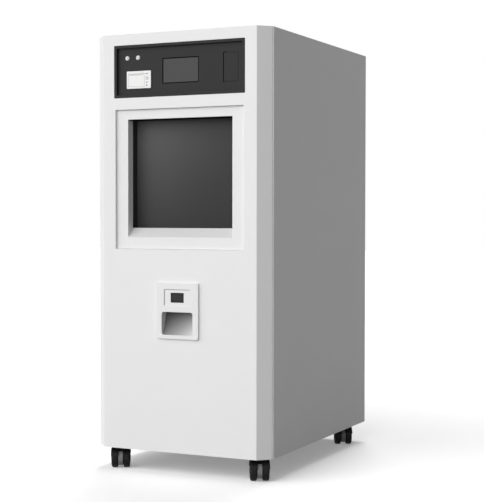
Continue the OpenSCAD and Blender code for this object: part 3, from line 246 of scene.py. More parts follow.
class Shape:
    """Vertices and faces of one piece, in millimetres."""

    weld = 2e-6
    crease = radians(35)
    # Least radius of a turned ring
    axis_r = 0.02

    def __init__(self):
        self.verts, self.faces, self.tones = [], [], []

    def add(self, verts, faces, tones):
        k = len(self.verts)
        self.verts += [tuple(v) for v in verts]
        self.faces += [[k + i for i in f] for f in faces]
        self.tones += tones

    def loft(self, rings, tone=0, caps=True, loop=False):
        """Skin through closed rings of equal length."""
        n = len(rings[0])
        count = len(rings)
        faces = []
        for i in range(count if loop else count - 1):
            a, b = i * n, (i + 1) % count * n
            faces += [[a + j, a + (j + 1) % n, b + (j + 1) % n, b + j] for j in range(n)]
        if caps and not loop:
            faces += [list(range(n)), [(count - 1) * n + j for j in range(n)]]
        self.add([p for ring in rings for p in ring], faces, [tone] * len(faces))

    def wall(self, loop, steps, place, tone=0):
        """Wall along an outline, through steps of (growth, depth)."""
        self.loft([[place(u, v, d) for u, v in grown(loop, g)] for g, d in steps], tone, caps=False)

    def fill(self, loops, place, d, tone=0):
        """Flat face inside the first loop, with the others as holes."""
        points = [[Vector((u, v, 0)) for u, v in loop] for loop in loops]
        faces = tessellate_polygon(points)
        self.add([place(u, v, d) for loop in loops for u, v in loop], faces, [tone] * len(faces))

    def plate(self, outer, holes, depth, edge, place, tone=0, back_edge=None):
        """Plate with holes, rounded along every edge."""
        back_edge = edge if back_edge is None else back_edge
        steps = edge_steps(edge) + [(g, depth - d) for g, d in reversed(edge_steps(back_edge))]
        for loop, sign in [(outer, -1)] + [(h, 1) for h in holes]:
            self.wall(loop, [(sign * g, d) for g, d in steps], place, tone)
        for g, d in (steps[0], steps[-1]):
            self.fill([grown(outer, -g)] + [grown(h, g) for h in holes], place, d, tone)

    def box(self, a, b, edge=0.5, tone=0):
        """Box between two corners, with plain edges where edge is 0."""
        w, d, h = (q - p for p, q in zip(a, b))
        if edge:
            flat = min(edge, w / 2.1, h / 2.1)
            loop = rounded((a[0] + b[0]) / 2, (a[2] + b[2]) / 2, w, h, flat, 3)
            self.plate(loop, (), d, min(flat, d / 2.1), front_at(a[1]), tone)
        else:
            self.loft([[(x, y, z) for x, z in ((a[0], a[2]), (b[0], a[2]), (b[0], b[2]), (a[0], b[2]))]
                       for y in (a[1], b[1])], tone)

    def turned(self, profile, centre, axis="y", steps=48, tone=0, loop=False):
        """Body turned round an axis: the profile is a list of (radius, distance along the axis)."""
        rings = []
        for r, t in profile:
            r, ring = max(r, self.axis_r), []
            for k in range(steps):
                a = 2 * pi * k / steps
                c, s = r * cos(a), r * sin(a)
                offset = {"x": (t, c, s), "y": (c, t, s), "z": (c, s, t)}[axis]
                ring.append([p + o for p, o in zip(centre, offset)])
            rings.append(ring)
        self.loft(rings, tone, loop=loop)

    def piece(self, name, looks, stands_for=(), body="cabinet"):
        """Object of this shape that rides on a body and stands for nodes of the frame."""
        mesh = bpy.data.meshes.new(name)
        mesh.from_pydata([[c * MM for c in v] for v in self.verts], [], self.faces)
        for look in looks:
            mesh.materials.append(LOOKS[look])
        for face, tone in zip(mesh.polygons, self.tones):
            face.material_index = tone
        bm = bmesh.new()
        bm.from_mesh(mesh)
        bmesh.ops.remove_doubles(bm, verts=bm.verts, dist=self.weld)
        bmesh.ops.recalc_face_normals(bm, faces=bm.faces)
        bm.to_mesh(mesh)
        bm.free()
        mesh.polygons.foreach_set("use_smooth", [True] * len(mesh.polygons))
        mesh.set_sharp_from_angle(angle=self.crease)
        obj = bpy.data.objects.new(name, mesh)
        bpy.context.scene.collection.objects.link(obj)
        obj.modifiers.new("Even shading", "WEIGHTED_NORMAL").keep_sharp = True
        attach(obj, body)
        if stands_for:
            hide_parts(*stands_for)


# Finishes

LOOKS = {}


class Nodes:
    """Short calls for the nodes of a material or of the world."""

    def __init__(self, holder):
        holder.use_nodes = True
        self.tree = holder.node_tree

    def link(self, output, socket):
        self.tree.links.new(output, socket)

    def new(self, kind, links, **values):
        node = self.tree.nodes.new(kind)
        for key, value in values.items():
            setattr(node, key, value)
        for socket, source in links.items():
            if isinstance(source, bpy.types.NodeSocket):
                self.link(source, node.inputs[socket])
            else:
                node.inputs[socket].default_value = source
        return node

    def combined(self, operation, a, b):
        return self.new("ShaderNodeMath", {0: a, 1: b}, operation=operation).outputs[0]

    def seen(self):
        """One for camera, glossy and transmission rays, which show the background."""
        path = self.new("ShaderNodeLightPath", {}).outputs
        total = self.combined("MAXIMUM", path["Is Camera Ray"], path["Is Glossy Ray"])
        return self.combined("MAXIMUM", total, path["Is Transmission Ray"])


class Finish(Nodes):
    """Nodes of one material."""

    roughness_spread = 0.04
    grain_height = 0.0002

    def __init__(self, name):
        LOOKS[name] = bpy.data.materials.new(name)
        super().__init__(LOOKS[name])
        self.shader = self.tree.nodes["Principled BSDF"].inputs
        self.place = self.new("ShaderNodeTexCoord", {}).outputs["Object"]

    def noise(self, scale, detail=2, stretch=(1, 1, 1)):
        spread = self.new("ShaderNodeMapping", {"Vector": self.place, "Scale": stretch}).outputs[0]
        return self.new("ShaderNodeTexNoise", {"Vector": spread, "Scale": scale, "Detail": detail}).outputs[0]

    def between(self, factor, a, b):
        """Colour between a and b."""
        mix = self.new("ShaderNodeMix", {"Factor": factor}, data_type="RGBA")
        mix.inputs["A"].default_value = (*a, 1)
        mix.inputs["B"].default_value = (*b, 1)
        return mix.outputs["Result"]

    def ranged(self, value, low, high, low_in=0.3, high_in=0.7):
        return self.new("ShaderNodeMapRange", {
            "Value": value, "From Min": low_in, "From Max": high_in, "To Min": low, "To Max": high}).outputs[0]

    def surface(self, colour, rough=0.5, metal=0, specular=0.35, tint=0.01, blotch=6, grain=900, bump=0.05,
                stretch=(1, 1, 1), edge=0):
        """Slight change of colour, a changing roughness, a fine grain and softened edges."""
        cloud = self.ranged(self.noise(blotch, 3), 0, 1)
        light = [min(1, c * (1 + tint)) for c in colour]
        dark = [c * (1 - tint) for c in colour]
        self.link(self.between(cloud, dark, light), self.shader["Base Color"])
        fine = self.noise(grain, 2, stretch)
        spread = self.roughness_spread
        self.link(self.ranged(fine, rough - spread, rough + spread), self.shader["Roughness"])
        self.shader["Metallic"].default_value = metal
        self.shader["Specular IOR Level"].default_value = specular
        relief = self.new("ShaderNodeBump", {"Height": fine, "Strength": bump, "Distance": self.grain_height})
        if edge:
            soft = self.new("ShaderNodeBevel", {"Radius": edge * MM}, samples=4)
            self.link(soft.outputs[0], relief.inputs["Normal"])
        self.link(relief.outputs[0], self.shader["Normal"])

    def slanted(self, low, high, lean, reach, shades, rough, power, specular):
        """Plain finish with painted light and shade: dark to light along a slant over the box from low to
        high.
        """
        axes = self.new("ShaderNodeSeparateXYZ", {"Vector": self.place}).outputs
        slant = self.ranged(self.noise(3), -0.05, 0.05)
        for axis, i, share in (("X", 0, lean[0]), ("Z", 2, lean[1])):
            part = self.ranged(axes[axis], -share / 2, share / 2, low[i] * MM, high[i] * MM)
            slant = self.combined("ADD", slant, part)
        level = self.combined("POWER", self.ranged(slant, 0, 1, *reach), power)
        self.link(self.between(level, *map(grey, shades)), self.shader["Base Color"])
        self.link(self.ranged(self.noise(900), rough - 0.03, rough + 0.03), self.shader["Roughness"])
        self.shader["Specular IOR Level"].default_value = specular


def grey(level):
    return (level,) * 3


def coat(colour, **values):
    """Values of one finish; a colour in words is a setting of FinishSettings."""
    return dict(values, colour=colour)


FINISHES = {
    "white_paint": coat("paint", bump=0.06, specular=0.2, tint=0.006),
    "white_paint_part": coat("paint", bump=0.06, specular=0.2, tint=0.006, edge=0.7),
    "white_plastic": coat("plastic", rough=0.42, grain=1400, specular=0.25, tint=0.006),
    # Painted shade: a darker copy of white_plastic for the door's sill
    "sill_white": coat(grey(0.64), rough=0.45, grain=1400, specular=0.2, tint=0.006),
    # Painted shade: grey lines at the top and left of the drawer window's seat
    "groove_grey": coat(grey(0.22), rough=0.6, specular=0.1),
    "grey_paint_part": coat(grey(0.58), bump=0.08, edge=0.7),
    "frame_paint": coat((0.66, 0.67, 0.68), rough=0.55, bump=0.1, edge=1.5),
    "charcoal": coat("panel", bump=0.1, grain=1600, specular=0.14),
    # Black for the painted shade lines at the service flap, the screen and the door's opening, and for the
    # drawer window's frame
    "black_line": coat(grey(0.003), rough=0.8, specular=0.02),
    "matt_black": coat(grey(0.01), rough=0.7, specular=0.3, bump=0.1, edge=0.6),
    "screen": coat("screen", rough=0.28, tint=0.02, bump=0.01, specular=0.18),
    "window": coat((0.016, 0.016, 0.017), rough=0.25, tint=0.02, bump=0.01, specular=0.2),
    "printer_plastic": coat("printer", rough=0.38, bump=0.04, grain=1500),
    "key_grey": coat(grey(0.6), rough=0.4, bump=0.03),
    "key_mark": coat(grey(0.3)),
    "dark_mark": coat(grey(0.07), rough=0.4),
    "tyre_black": coat("tyre", rough=0.55, specular=0.15, bump=0.1, grain=700),
    "web_grey": coat(grey(0.2), specular=0.2, bump=0.06),
    "aluminium": coat((0.74, 0.75, 0.76), rough=0.33, metal=1, bump=0.12, stretch=(0.04, 1, 1), edge=0.8),
    "sheet_aluminium": coat((0.72, 0.73, 0.74), rough=0.42, metal=1, bump=0.1, edge=0.3),
    "steel": coat((0.62, 0.62, 0.63), rough=0.24, metal=1, edge=0.4),
    "zinc": coat((0.56, 0.56, 0.55), rough=0.34, metal=1, tint=0.12, blotch=60),
    "brass": coat((0.72, 0.52, 0.25), rough=0.3, metal=1, tint=0.06, bump=0.08, edge=0.6),
    "bracket_grey": coat((0.19, 0.2, 0.22), bump=0.1, edge=0.8),
    "motor_enamel": coat((0.09, 0.12, 0.16), rough=0.38, bump=0.12, grain=300, edge=1.2),
    "seal": coat(grey(0.03), rough=0.55, specular=0.4, bump=0.08, edge=0.5),
    "milky": coat((0.74, 0.75, 0.75), rough=0.4, bump=0.03, edge=0.8),
    "module_green": coat((0.33, 0.4, 0.36), bump=0.06, edge=0.8),
    "rocker": coat((0.3, 0.028, 0.028), rough=0.3, edge=0.8),
    "roll_paper": coat((0.88, 0.88, 0.86), rough=0.75, specular=0.2, bump=0.1, grain=500, edge=0.3),
    "cassette": coat((0.78, 0.76, 0.6), rough=0.4, bump=0.04, edge=0.8),
    "dark_steel": coat((0.25, 0.25, 0.26), rough=0.4, metal=0.8, bump=0.08, edge=0.4),
}

# The frame's own nodes that stay in view, by finish
NODES_OF_FINISH = {
    "frame_paint": "frame",
    "white_paint_part": "top_cover rear_panel",
    "matt_black": "door_throat hmi_housing data_ports fan_frames fan_rotor_left fan_rotor_right mains_inlet",
    "roll_paper": "paper_roll",
    "aluminium": "chamber door_plate",
    "sheet_aluminium": "electrode_liner",
    "seal": "chamber_seal drive_belts",
    "steel": "wire_shelves door_rails drive_shaft idler_shaft vacuum_line",
    "bracket_grey": "door_carriage lift_bearings oil_mist_filter",
    "motor_enamel": "gearmotor vacuum_pump",
    "brass": "vaporizer",
    "milky": "dosing_unit hepa_filter cassette_housing",
    "grey_paint_part": "rf_unit",
    "module_green": "control_electronics",
    "rocker": "switch_rocker",
    "cassette": "cassette",
    "dark_steel": "caster_plates",
}


# Operators


class SterilizerStep(bpy.types.Operator):
    bl_options = {"REGISTER", "UNDO"}


class BuildStage(SterilizerStep):
    """Floor, light and camera"""

    bl_idname = "sterilizer.stage"
    bl_label = "Stage"

    white = (1, 1, 1, 1)
    camera_place = (2.312, -4.7973, 0.9866)
    # Degrees right of the front and above the floor, then the camera's roll or the lamp's softness
    camera_aim = (25.551, 1.554, 0.054)
    key_aim = (-26, 7, 110)
    top_aim = (-170, 66, 22)

    def execute(self, context):
        s = context.scene.ps_stage
        self.floor(s)
        self.world(s, context.scene)
        self.lamp("key", s.key, *self.key_aim)
        self.lamp("top", s.top, *self.top_aim)
        context.scene.camera = self.camera(s)
        context.scene.view_settings.view_transform = "Standard"
        return {"FINISHED"}

    def floor(self, s):
        bpy.ops.mesh.primitive_plane_add(size=60)
        floor = bpy.context.object
        floor.name = "floor"
        n = Finish("floor_white")
        seen = n.seen()
        n.link(n.between(seen, grey(s.floor), grey(1)), n.shader["Base Color"])
        n.shader["Roughness"].default_value = 0.9
        n.shader["Specular IOR Level"].default_value = 0
        n.shader["Emission Color"].default_value = self.white
        n.link(n.ranged(seen, 0, s.shine, 0, 1), n.shader["Emission Strength"])
        floor.data.materials.append(LOOKS["floor_white"])

    def world(self, s, scene):
        scene.world = bpy.data.worlds.new("studio")
        n = Nodes(scene.world)
        even = n.tree.nodes["Background"]
        even.inputs["Color"].default_value = self.white
        even.inputs["Strength"].default_value = s.sky
        plain = n.new("ShaderNodeBackground", {"Color": self.white, "Strength": 1})
        mix = n.new("ShaderNodeMixShader", {0: n.seen(), 1: even.outputs[0], 2: plain.outputs[0]})
        n.link(mix.outputs[0], n.tree.nodes["World Output"].inputs["Surface"])

    def lamp(self, name, energy, turn, height, softness):
        sun = bpy.data.lights.new(name, "SUN")
        sun.energy = energy
        sun.angle = radians(softness)
        self.aimed(name, sun, turn, height)

    def camera(self, s):
        data = bpy.data.cameras.new("camera")
        data.lens = s.lens
        data.clip_start, data.clip_end = 0.1, 200
        turn, height, roll = self.camera_aim
        camera = self.aimed("camera", data, turn, height)
        camera.rotation_quaternion @= Quaternion((0, 0, 1), radians(roll))
        camera.location = self.camera_place
        return camera

    def aimed(self, name, data, turn, height):
        """Object that looks back from turn and height."""
        a, b = radians(turn), radians(height)
        obj = bpy.data.objects.new(name, data)
        obj.rotation_mode = "QUATERNION"
        obj.rotation_quaternion = Vector((sin(a) * cos(b), -cos(a) * cos(b), sin(b))).to_track_quat("Z", "Y")
        bpy.context.scene.collection.objects.link(obj)
        return obj


class ApplyFinishes(SterilizerStep):
    """Finishes of every part"""

    bl_idname = "sterilizer.finishes"
    bl_label = "Finishes"

    def execute(self, context):
        for name, values in FINISHES.items():
            colour = values["colour"]
            if isinstance(colour, str):
                colour = getattr(context.scene.ps_finish, colour)
            Finish(name).surface(**{**values, "colour": colour})
        # Painted reflection: the door glass is lighter towards its top left and darker towards its bottom
        # right.
        Finish("door_glass").slanted(
            *span("door_glass"), lean=(-1, 1), reach=(-0.8, 0.8), shades=(0.034, 0.135), rough=0.33, power=2.3,
            specular=0.08)
        s = context.scene.ps_drawer
        half, foot = s.scoop_w / 2, span("drawer_front")[0][2] + s.scoop_rise
        # Painted shade: the scoop's back is dark at its top left and light at its bottom right, where its own
        # shadow falls.
        Finish("scoop_grey").slanted(
            (-half, 0, foot), (half, 0, foot + s.scoop_h), lean=(1, -0.84), reach=(-0.92, 0.92),
            shades=(0.09, 0.62), rough=0.55, power=2, specular=0.1)
        for look, nodes in NODES_OF_FINISH.items():
            for node in nodes.split():
                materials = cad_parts[node].data.materials
                for i in range(len(materials)):
                    materials[i] = LOOKS[look]
        return {"FINISHED"}


class BuildCabinet(SterilizerStep):
    """Front panel with its cut corners, and the side panels"""

    bl_idname = "sterilizer.cabinet"
    bl_label = "Cabinet"

    panel_margin, panel_h = 17, 202
    bay_w, bay_h = 160, 194
    step_depth, step_w = 12, 2

    def execute(self, context):
        s = context.scene.ps_cabinet
        flat = SIDE - s.corner_cut
        x = flat - s.bend * tan(radians(45 / 2))
        shape = Shape()
        self.face(s, shape, x)
        self.corners(s, shape, x, flat)
        shape.piece("front_skin", ["white_paint"], ["front_panel"])
        self.sides(s)
        return {"FINISHED"}

    def face(self, s, shape, x):
        """Flat sheet with openings for the control panel, the door and the drawer."""
        place = front_at(FRONT)
        outer = [(-x, LOW), (x, LOW), (x, HIGH), (-x, HIGH)]
        panel_w = face_of("control_bezel")[2] - self.panel_margin
        _, door_z, door_w, door_h = face_of("door_surround")
        bay_z = middle("cassette_housing")[2]
        holes = [
            (rounded(0, PANEL_Z, panel_w, self.panel_h, 2), s.sheet),
            (rounded(0, door_z, door_w + 1, door_h + 1, 2.5), self.step_depth),
            (rounded(0, bay_z, self.bay_w, self.bay_h, 4), s.sheet),
        ]
        shape.fill([outer] + [grown(hole, s.edge) for hole, depth in holes], place, 0)
        shape.fill([outer] + [grown(hole, self.step_w if depth > s.sheet else 0) for hole, depth in holes],
                   place, s.sheet)
        for hole, depth in holes:
            steps = edge_steps(s.edge, (0, 0.52, 1.05, pi / 2)) + [(0, depth)]
            if depth > s.sheet:
                steps += [(self.step_w, depth), (self.step_w, s.sheet)]
            shape.wall(hole, steps, place)
        shape.loft([[place(u, v, d) for u, v in outer] for d in (0, s.sheet)], caps=False)

    def corners(self, s, shape, x, flat):
        """Cut corners, folded lips, and the tabs that close the corners at the top."""
        cut, folded = FRONT + s.corner_cut, SIDE - s.lip
        for sign in (-1, 1):
            path = [(x, FRONT), (flat, FRONT), (SIDE, cut), (folded, cut)]
            section = filleted(path, (s.bend, 2.4)) + filleted(shifted(path, -s.sheet), (1, 0.5))[::-1]
            shape.loft([[(sign * u, v, z) for u, v in section] for z in (LOW, HIGH)])
        for z in (LOW, HIGH - s.sheet):
            shape.box((-x + 2, FRONT + s.sheet - 0.5, z), (x - 2, FRONT + s.lip, z + s.sheet))
        near, lean, fold, deep = x - 2.2, flat - 2.3, folded - 0.4, s.corner_cut - 1.7
        for tab in ([(near, 1.5), (lean + 1.5, 1.5), (lean + s.lip, s.lip), (near, s.lip)],
                    [(fold, fold - lean), (lean + deep, deep), (fold, deep)]):
            for sign in (-1, 1):
                shape.loft([[(sign * u, FRONT + v, z) for u, v in tab] for z in (HIGH - s.sheet, HIGH)])

    def sides(self, s):
        t, seam, overlap = s.side_sheet, 1, 0.1
        y0 = FRONT + s.corner_cut + seam
        folded, front_fold, skin = SIDE - s.lip, SIDE - 11.5, SIDE - t + overlap
        for name, sign in (("left_side_panel", -1), ("right_side_panel", 1)):
            shape = Shape()
            sheet = rounded((y0 + REAR) / 2, (LOW + HIGH) / 2, REAR - y0, HIGH - LOW, 1.2, 3)
            shape.plate(sheet, (), t, 0.7, side_at(SIDE, sign))
            for a, b in (((folded, REAR - t, LOW), (skin, REAR, HIGH - 3)),
                         ((front_fold, y0, LOW), (skin, y0 + t, HIGH - 4)),
                         ((folded, y0, HIGH - 3.3), (skin, REAR - t, HIGH - 1.8))):
                x0, x1 = sorted((sign * a[0], sign * b[0]))
                shape.box((x0, *a[1:]), (x1, *b[1:]), 0.4)
            shape.piece(name.replace("panel", "skin"), ["white_paint"], [name])


class BuildRear(SterilizerStep):
    """Pan head screws that hold the rear panel to the frame"""

    bl_idname = "sterilizer.rear"
    bl_label = "Rear screws"

    head = [(0, 1.2), (1.6, 1.2), (1.8, 2.3), (2.6, 2.4), (3.6, 1.9), (4.2, 0.9), (4.3, 0), (0, 0)]
    inset, margin = 9, 30

    def execute(self, context):
        count = context.scene.ps_cabinet.screws
        low, high = span("rear_panel")
        x, foot = high[0] - self.inset, low[2] + self.margin
        pitch = (high[2] - self.margin - foot) / (count - 1)
        heads = Shape()
        for sign in (-1, 1):
            for k in range(count):
                heads.turned(self.head, (sign * x, REAR, foot + k * pitch), steps=24)
        heads.piece("rear_screws", ["steel"])
        return {"FINISHED"}


class BuildControlPanel(SterilizerStep):
    """Black bezel and fascia with the screen and the service flap"""

    bl_idname = "sterilizer.control_panel"
    bl_label = "Control panel"

    sheet = 3
    bezel_seat = FASCIA + 3
    printer_hole = (102.5, 62)
    collar_overlap = 0.8
    screen_margin = 5
    hinge_pin = 5

    def execute(self, context):
        s = context.scene.ps_control
        self.bezel(s)
        self.fascia(s)
        self.screen(s)
        self.lid()
        return {"FINISHED"}

    def bezel(self, s):
        w, h = s.face_w + 2 * s.rim, s.face_h + 2 * s.rim
        y, flange, ledge = FRONT + 1, 18, 16
        bezel = Shape()
        bezel.plate(rounded(0, PANEL_Z, w, h, 1.5), [rounded(0, PANEL_Z, s.face_w, s.face_h, 1)],
                    self.bezel_seat - y, 1, front_at(y))
        bezel.plate(rounded(0, PANEL_Z, w + flange, h + flange, 6), [rounded(0, PANEL_Z, w - 2, h - 2, 2)],
                    self.sheet, 0.5, front_at(y + 1))
        bezel.plate(rounded(0, PANEL_Z, w, h, 2), [rounded(0, PANEL_Z, s.face_w - ledge, s.face_h - ledge, 2)],
                    self.sheet, 0.5, front_at(self.bezel_seat))
        bezel.piece("bezel", ["charcoal"], ["control_bezel"])

    def glass(self, grow, r):
        """Outline of the screen's glass, grown on each side."""
        x, z, w, h = face_of("lcd_screen")
        return rounded(x, z, w - self.screen_margin + 2 * grow, h - self.screen_margin + 2 * grow, r)

    def flap(self):
        """Middle and size of the service flap without its hinge pin's ends."""
        x, z, w, h = face_of("service_flap")
        return x, z, w, h - 2 * self.hinge_pin

    def fascia(self, s):
        flap_x, flap_z, flap_w, flap_h = self.flap()
        printer_x, printer_z = face_of("printer_body")[:2]
        holes = [
            self.glass(s.gasket, 2.5),
            rounded(printer_x, printer_z, *self.printer_hole, 1),
            rounded(flap_x, flap_z, flap_w + 1.2, flap_h + 1.2, 1.5),
        ]
        for node in ("power_button", "start_button"):
            x, z = face_of(node)[:2]
            holes.append(circle(x, z, s.collar / 2 - self.collar_overlap))
        fascia = Shape()
        fascia.plate(rounded(0, PANEL_Z, s.face_w - 1, s.face_h - 1, 1.2), holes, self.sheet, 0.6,
                     front_at(FASCIA))
        # Painted shade: black lines along the flap's left side and short runs along its top and bottom, where
        # the recess's shadow falls.
        line, off = 2.6, 3
        left, foot, head = flap_x - flap_w / 2 - 3.2, flap_z - flap_h / 2 - off, flap_z + flap_h / 2 + off
        near, far = FASCIA - 0.15, FASCIA + 0.5
        fascia.box((left, near, foot), (left + line, far, head), 0, tone=1)
        for z, reach in ((foot, 7), (head - line, 15)):
            fascia.box((left + line, near, z), (left + reach, far, z + line), 0, tone=1)
        fascia.piece("fascia", ["charcoal", "black_line"], ["control_fascia"])

    def screen(self, s):
        screen = Shape()
        # Painted shade: the black rim round the screen stands for the shadow line of its recess.
        screen.plate(self.glass(s.gasket - 0.2, 2.4), [self.glass(0, 1)], 2, 0.4, front_at(FASCIA + 1), tone=1)
        screen.plate(self.glass(-0.05, 1), (), 1.2, 0.2, front_at(FASCIA + 1.5))
        screen.piece("screen", ["screen", "black_line"], ["lcd_screen"])

    def lid(self):
        x, z, w, h = self.flap()
        hinge_x, notch_x, notch_w, notch_h = x + w / 2 - 3, x - w / 2 + 2.2, 2, 18
        lid = Shape()
        lid.plate(rounded(x, z, w, h, 2), (), self.sheet, 0.7, front_at(FASCIA))
        for r, reach, y, steps in ((3, h / 2, 3.2, 24), (1.5, h / 2 + self.hinge_pin, 3, 16)):
            lid.turned([(r, z - reach), (r, z + reach)], (hinge_x, FASCIA + y, 0), "z", steps)
        lid.box((notch_x, FASCIA - 0.6, z - notch_h / 2), (notch_x + notch_w, FASCIA + 0.5, z + notch_h / 2))
        lid.piece("service_lid", ["charcoal"], ["service_flap"], "service_flap")


class BuildPrinter(SterilizerStep):
    """Panel printer with its paper door, key and lamps"""

    bl_idname = "sterilizer.printer"
    bl_label = "Printer"

    door_w = 70
    key_profile = [(0, -0.4), (4.2, -0.6), (5, -0.8), (5.4, -0.3), (5.5, 0.4), (5.5, 7.2)]
    key_hole = 5.9
    lamp_w, lamp_h = 8, 3.6
    lamp_drops = (15.5, 26.5)

    def execute(self, context):
        y, back = (corner[1] for corner in span("printer_body"))
        key_x, key_z = face_of("printer_button")[:2]
        self.body(y, back, key_x, key_z)
        self.door()
        key = Shape()
        key.turned(self.key_profile, (key_x, y, key_z), steps=40)
        key.piece("printer_key", ["key_grey"], ["printer_button"], "printer_button")
        self.lamps(key_x - 0.4, y, key_z)
        return {"FINISHED"}

    def body(self, y, back, key_x, key_z):
        x, z, w, h = face_of("printer_body")
        door_x, door_z, _, door_h = face_of("printer_door")
        left, right, foot, head = x - w / 2, x + w / 2, z - h / 2, z + h / 2
        body = Shape()
        recess = rounded(door_x, door_z, self.door_w + 0.8, door_h + 0.8, 1.2)
        body.plate(rounded(x, z, w, h, 3), [recess, circle(key_x, key_z, self.key_hole)], 4, 1.2, front_at(y))
        hole = rounded(door_x, door_z, 61, door_h - 8, 2)
        body.plate(rounded(x, z, w - 5, h - 6, 2), [hole], back - FASCIA, 0.6, front_at(FASCIA))
        body.box((left + 3, back - 3, foot + 4), (right - 3, back, head - 4))
        body.box((left + 8, y - 0.05, head - 5.4), (right - 30, y + 0.4, head - 4.8), 0.2, tone=1)
        body.piece("printer_frame", ["printer_plastic", "key_grey"], ["printer_body"])

    def door(self):
        x, z, _, h = face_of("printer_door")
        y, foot, head = span("printer_door")[0][1], z - h / 2, z + h / 2
        left, right = x - self.door_w / 2, x + self.door_w / 2
        door = Shape()
        slit = rounded(x, head - 3.8, 57, 1.6, 0.7, 3)
        door.plate(rounded(x, z, self.door_w - 0.6, h - 0.6, 1), [slit], 2.5, 0.5, front_at(y))
        for r, reach, depth, steps in ((2.2, 0, 2.4, 20), (1, 2.5, 2.2, 12)):
            door.turned([(r, left - reach), (r, right + reach)], (0, y + depth, foot + 2.2), "x", steps)
        for rise in (-12, -3, 6):
            door.box((left + 5, y - 0.15, z + rise), (right - 5, y + 0.3, z + rise + 0.9), 0.3)
        door.piece("paper_door", ["printer_plastic"], ["printer_door"], "printer_door")

    def lamps(self, x, y, z):
        lamps = Shape()
        for drop in self.lamp_drops:
            lamps.plate(rounded(x, z - drop, self.lamp_w, self.lamp_h, 1.75), (), 1.2, 0.4, front_at(y - 0.4))
        head = span("printer_body")[1][2]
        lamps.plate(rounded(x, head - 11.5, 11, 2.2, 0.5), (), 0.6, 0.1, front_at(y - 0.2))
        lamps.piece("printer_lamps", ["dark_mark"])


class BuildButtons(SterilizerStep):
    """The two push buttons with their collars"""

    bl_idname = "sterilizer.buttons"
    bl_label = "Buttons"

    block, block_y, contact_y = 13, 30, 45

    def execute(self, context):
        s = context.scene.ps_control
        collars = Shape()
        for node in ("power_button", "start_button"):
            x, z = face_of(node)[:2]
            self.collar(collars, s.button / 2, s.collar / 2, x, z)
            self.cap(node, s.button / 2, (x, FASCIA, z))
        collars.piece("collars", ["printer_plastic", "zinc"], ["button_collars"])
        return {"FINISHED"}

    def collar(self, shape, r, c, x, z):
        """Collar, its nut and the contact block behind it."""
        place = (x, FASCIA, z)
        ring = [(r + 0.3, -2.2), (r + 0.8, -2.9), (c - 1.6, -3), (c - 0.5, -2.5), (c, -1.4), (c, 0),
                (c - 1.5, 0), (c - 1.5, self.block_y), (r + 0.3, self.block_y)]
        nut = [(c + 0.6, 3), (c + 2.4, 3.2), (c + 2.4, 8.8), (c - 1.4, 8.8), (c - 1.4, 3)]
        shape.turned(ring, place, steps=56, loop=True)
        shape.turned(nut, place, steps=6, loop=True)
        near, far, tip = FASCIA + self.block_y, FASCIA + self.contact_y + 1, FASCIA + self.contact_y + 6
        shape.box((x - self.block, near, z - self.block), (x + self.block, far, z + self.block), 1.2)
        for k in (-6, 6):
            shape.box((x + k - 1.5, far - 1, z - 3), (x + k + 1.5, tip, z + 3), 0.3, tone=1)

    def cap(self, node, r, place):
        cap = Shape()
        face = [(0, -3.3), (2.6, -3.4), (3.4, -3.9), (4.4, -4), (r - 0.5, -3.9), (r, -3.2), (r, 10)]
        mark = [(0, -3.6), (2.2, -3.6), (2.4, -3.4), (2.4, -3)]
        cap.turned(face, place)
        cap.turned(mark, place, steps=32, tone=1)
        cap.piece(node + "_cap", ["printer_plastic", "key_mark"], [node], node)


class BuildDoor(SterilizerStep):
    """White surround of the door, and the dark panel of the sliding door"""

    bl_idname = "sterilizer.door"
    bl_label = "Door"

    def execute(self, context):
        self.surround(context.scene.ps_door)
        x, z, w, h = face_of("door_glass")
        near, far = (corner[1] for corner in span("door_glass"))
        glass = Shape()
        glass.plate(rounded(x, z, w, h, 6), (), far - near, 0.8, front_at(near))
        glass.piece("door_panel", ["door_glass"], ["door_glass"], "lift_door")
        return {"FINISHED"}

    def surround(self, s):
        """Face, side walls, upper wall and a strip under it painted black as shade, and the slanted sill
        painted darker as shade.
        """
        _, z, w, h = face_of("door_surround")
        y = span("door_surround")[0][1]
        x, low, high, t, end = s.mouth_w / 2, s.mouth_low, s.mouth_high, s.wall, y + s.depth
        shape = Shape()
        shape.plate(rounded(0, z, w, h, 2), [[(-x, low), (x, low), (x, high), (-x, high)]], t, 1.4,
                    front_at(y), back_edge=0)
        for sign in (-1, 1):
            x0, x1 = sorted((sign * x, sign * (x + t)))
            shape.box((x0, y + t - 1, low - t), (x1, end, high + t), 0)
        # Painted shade: the white upper wall and a strip hanging under it are painted black, where shade
        # falls.
        shape.box((-x, y + t - 1, high), (x, end, high + t), 0, tone=2)
        shape.box((-x, y + 5, high - s.seal), (x, end, high + 0.5), 0, tone=2)
        # Painted shade: the sill is darker than the surround's white plastic.
        top = low + s.depth - 1
        sill = [(y + 1, low + 0.2), (y + 2, low + 1.2), (end, top), (end, top - 2 * t), (y + 2 * t, low - t),
                (y + 1, low - t)]
        shape.loft([[(u, a, b) for a, b in sill] for u in (-x, x)], tone=1)
        looks = ["white_plastic", "sill_white", "black_line"]
        shape.piece("surround", looks, ["door_surround"])


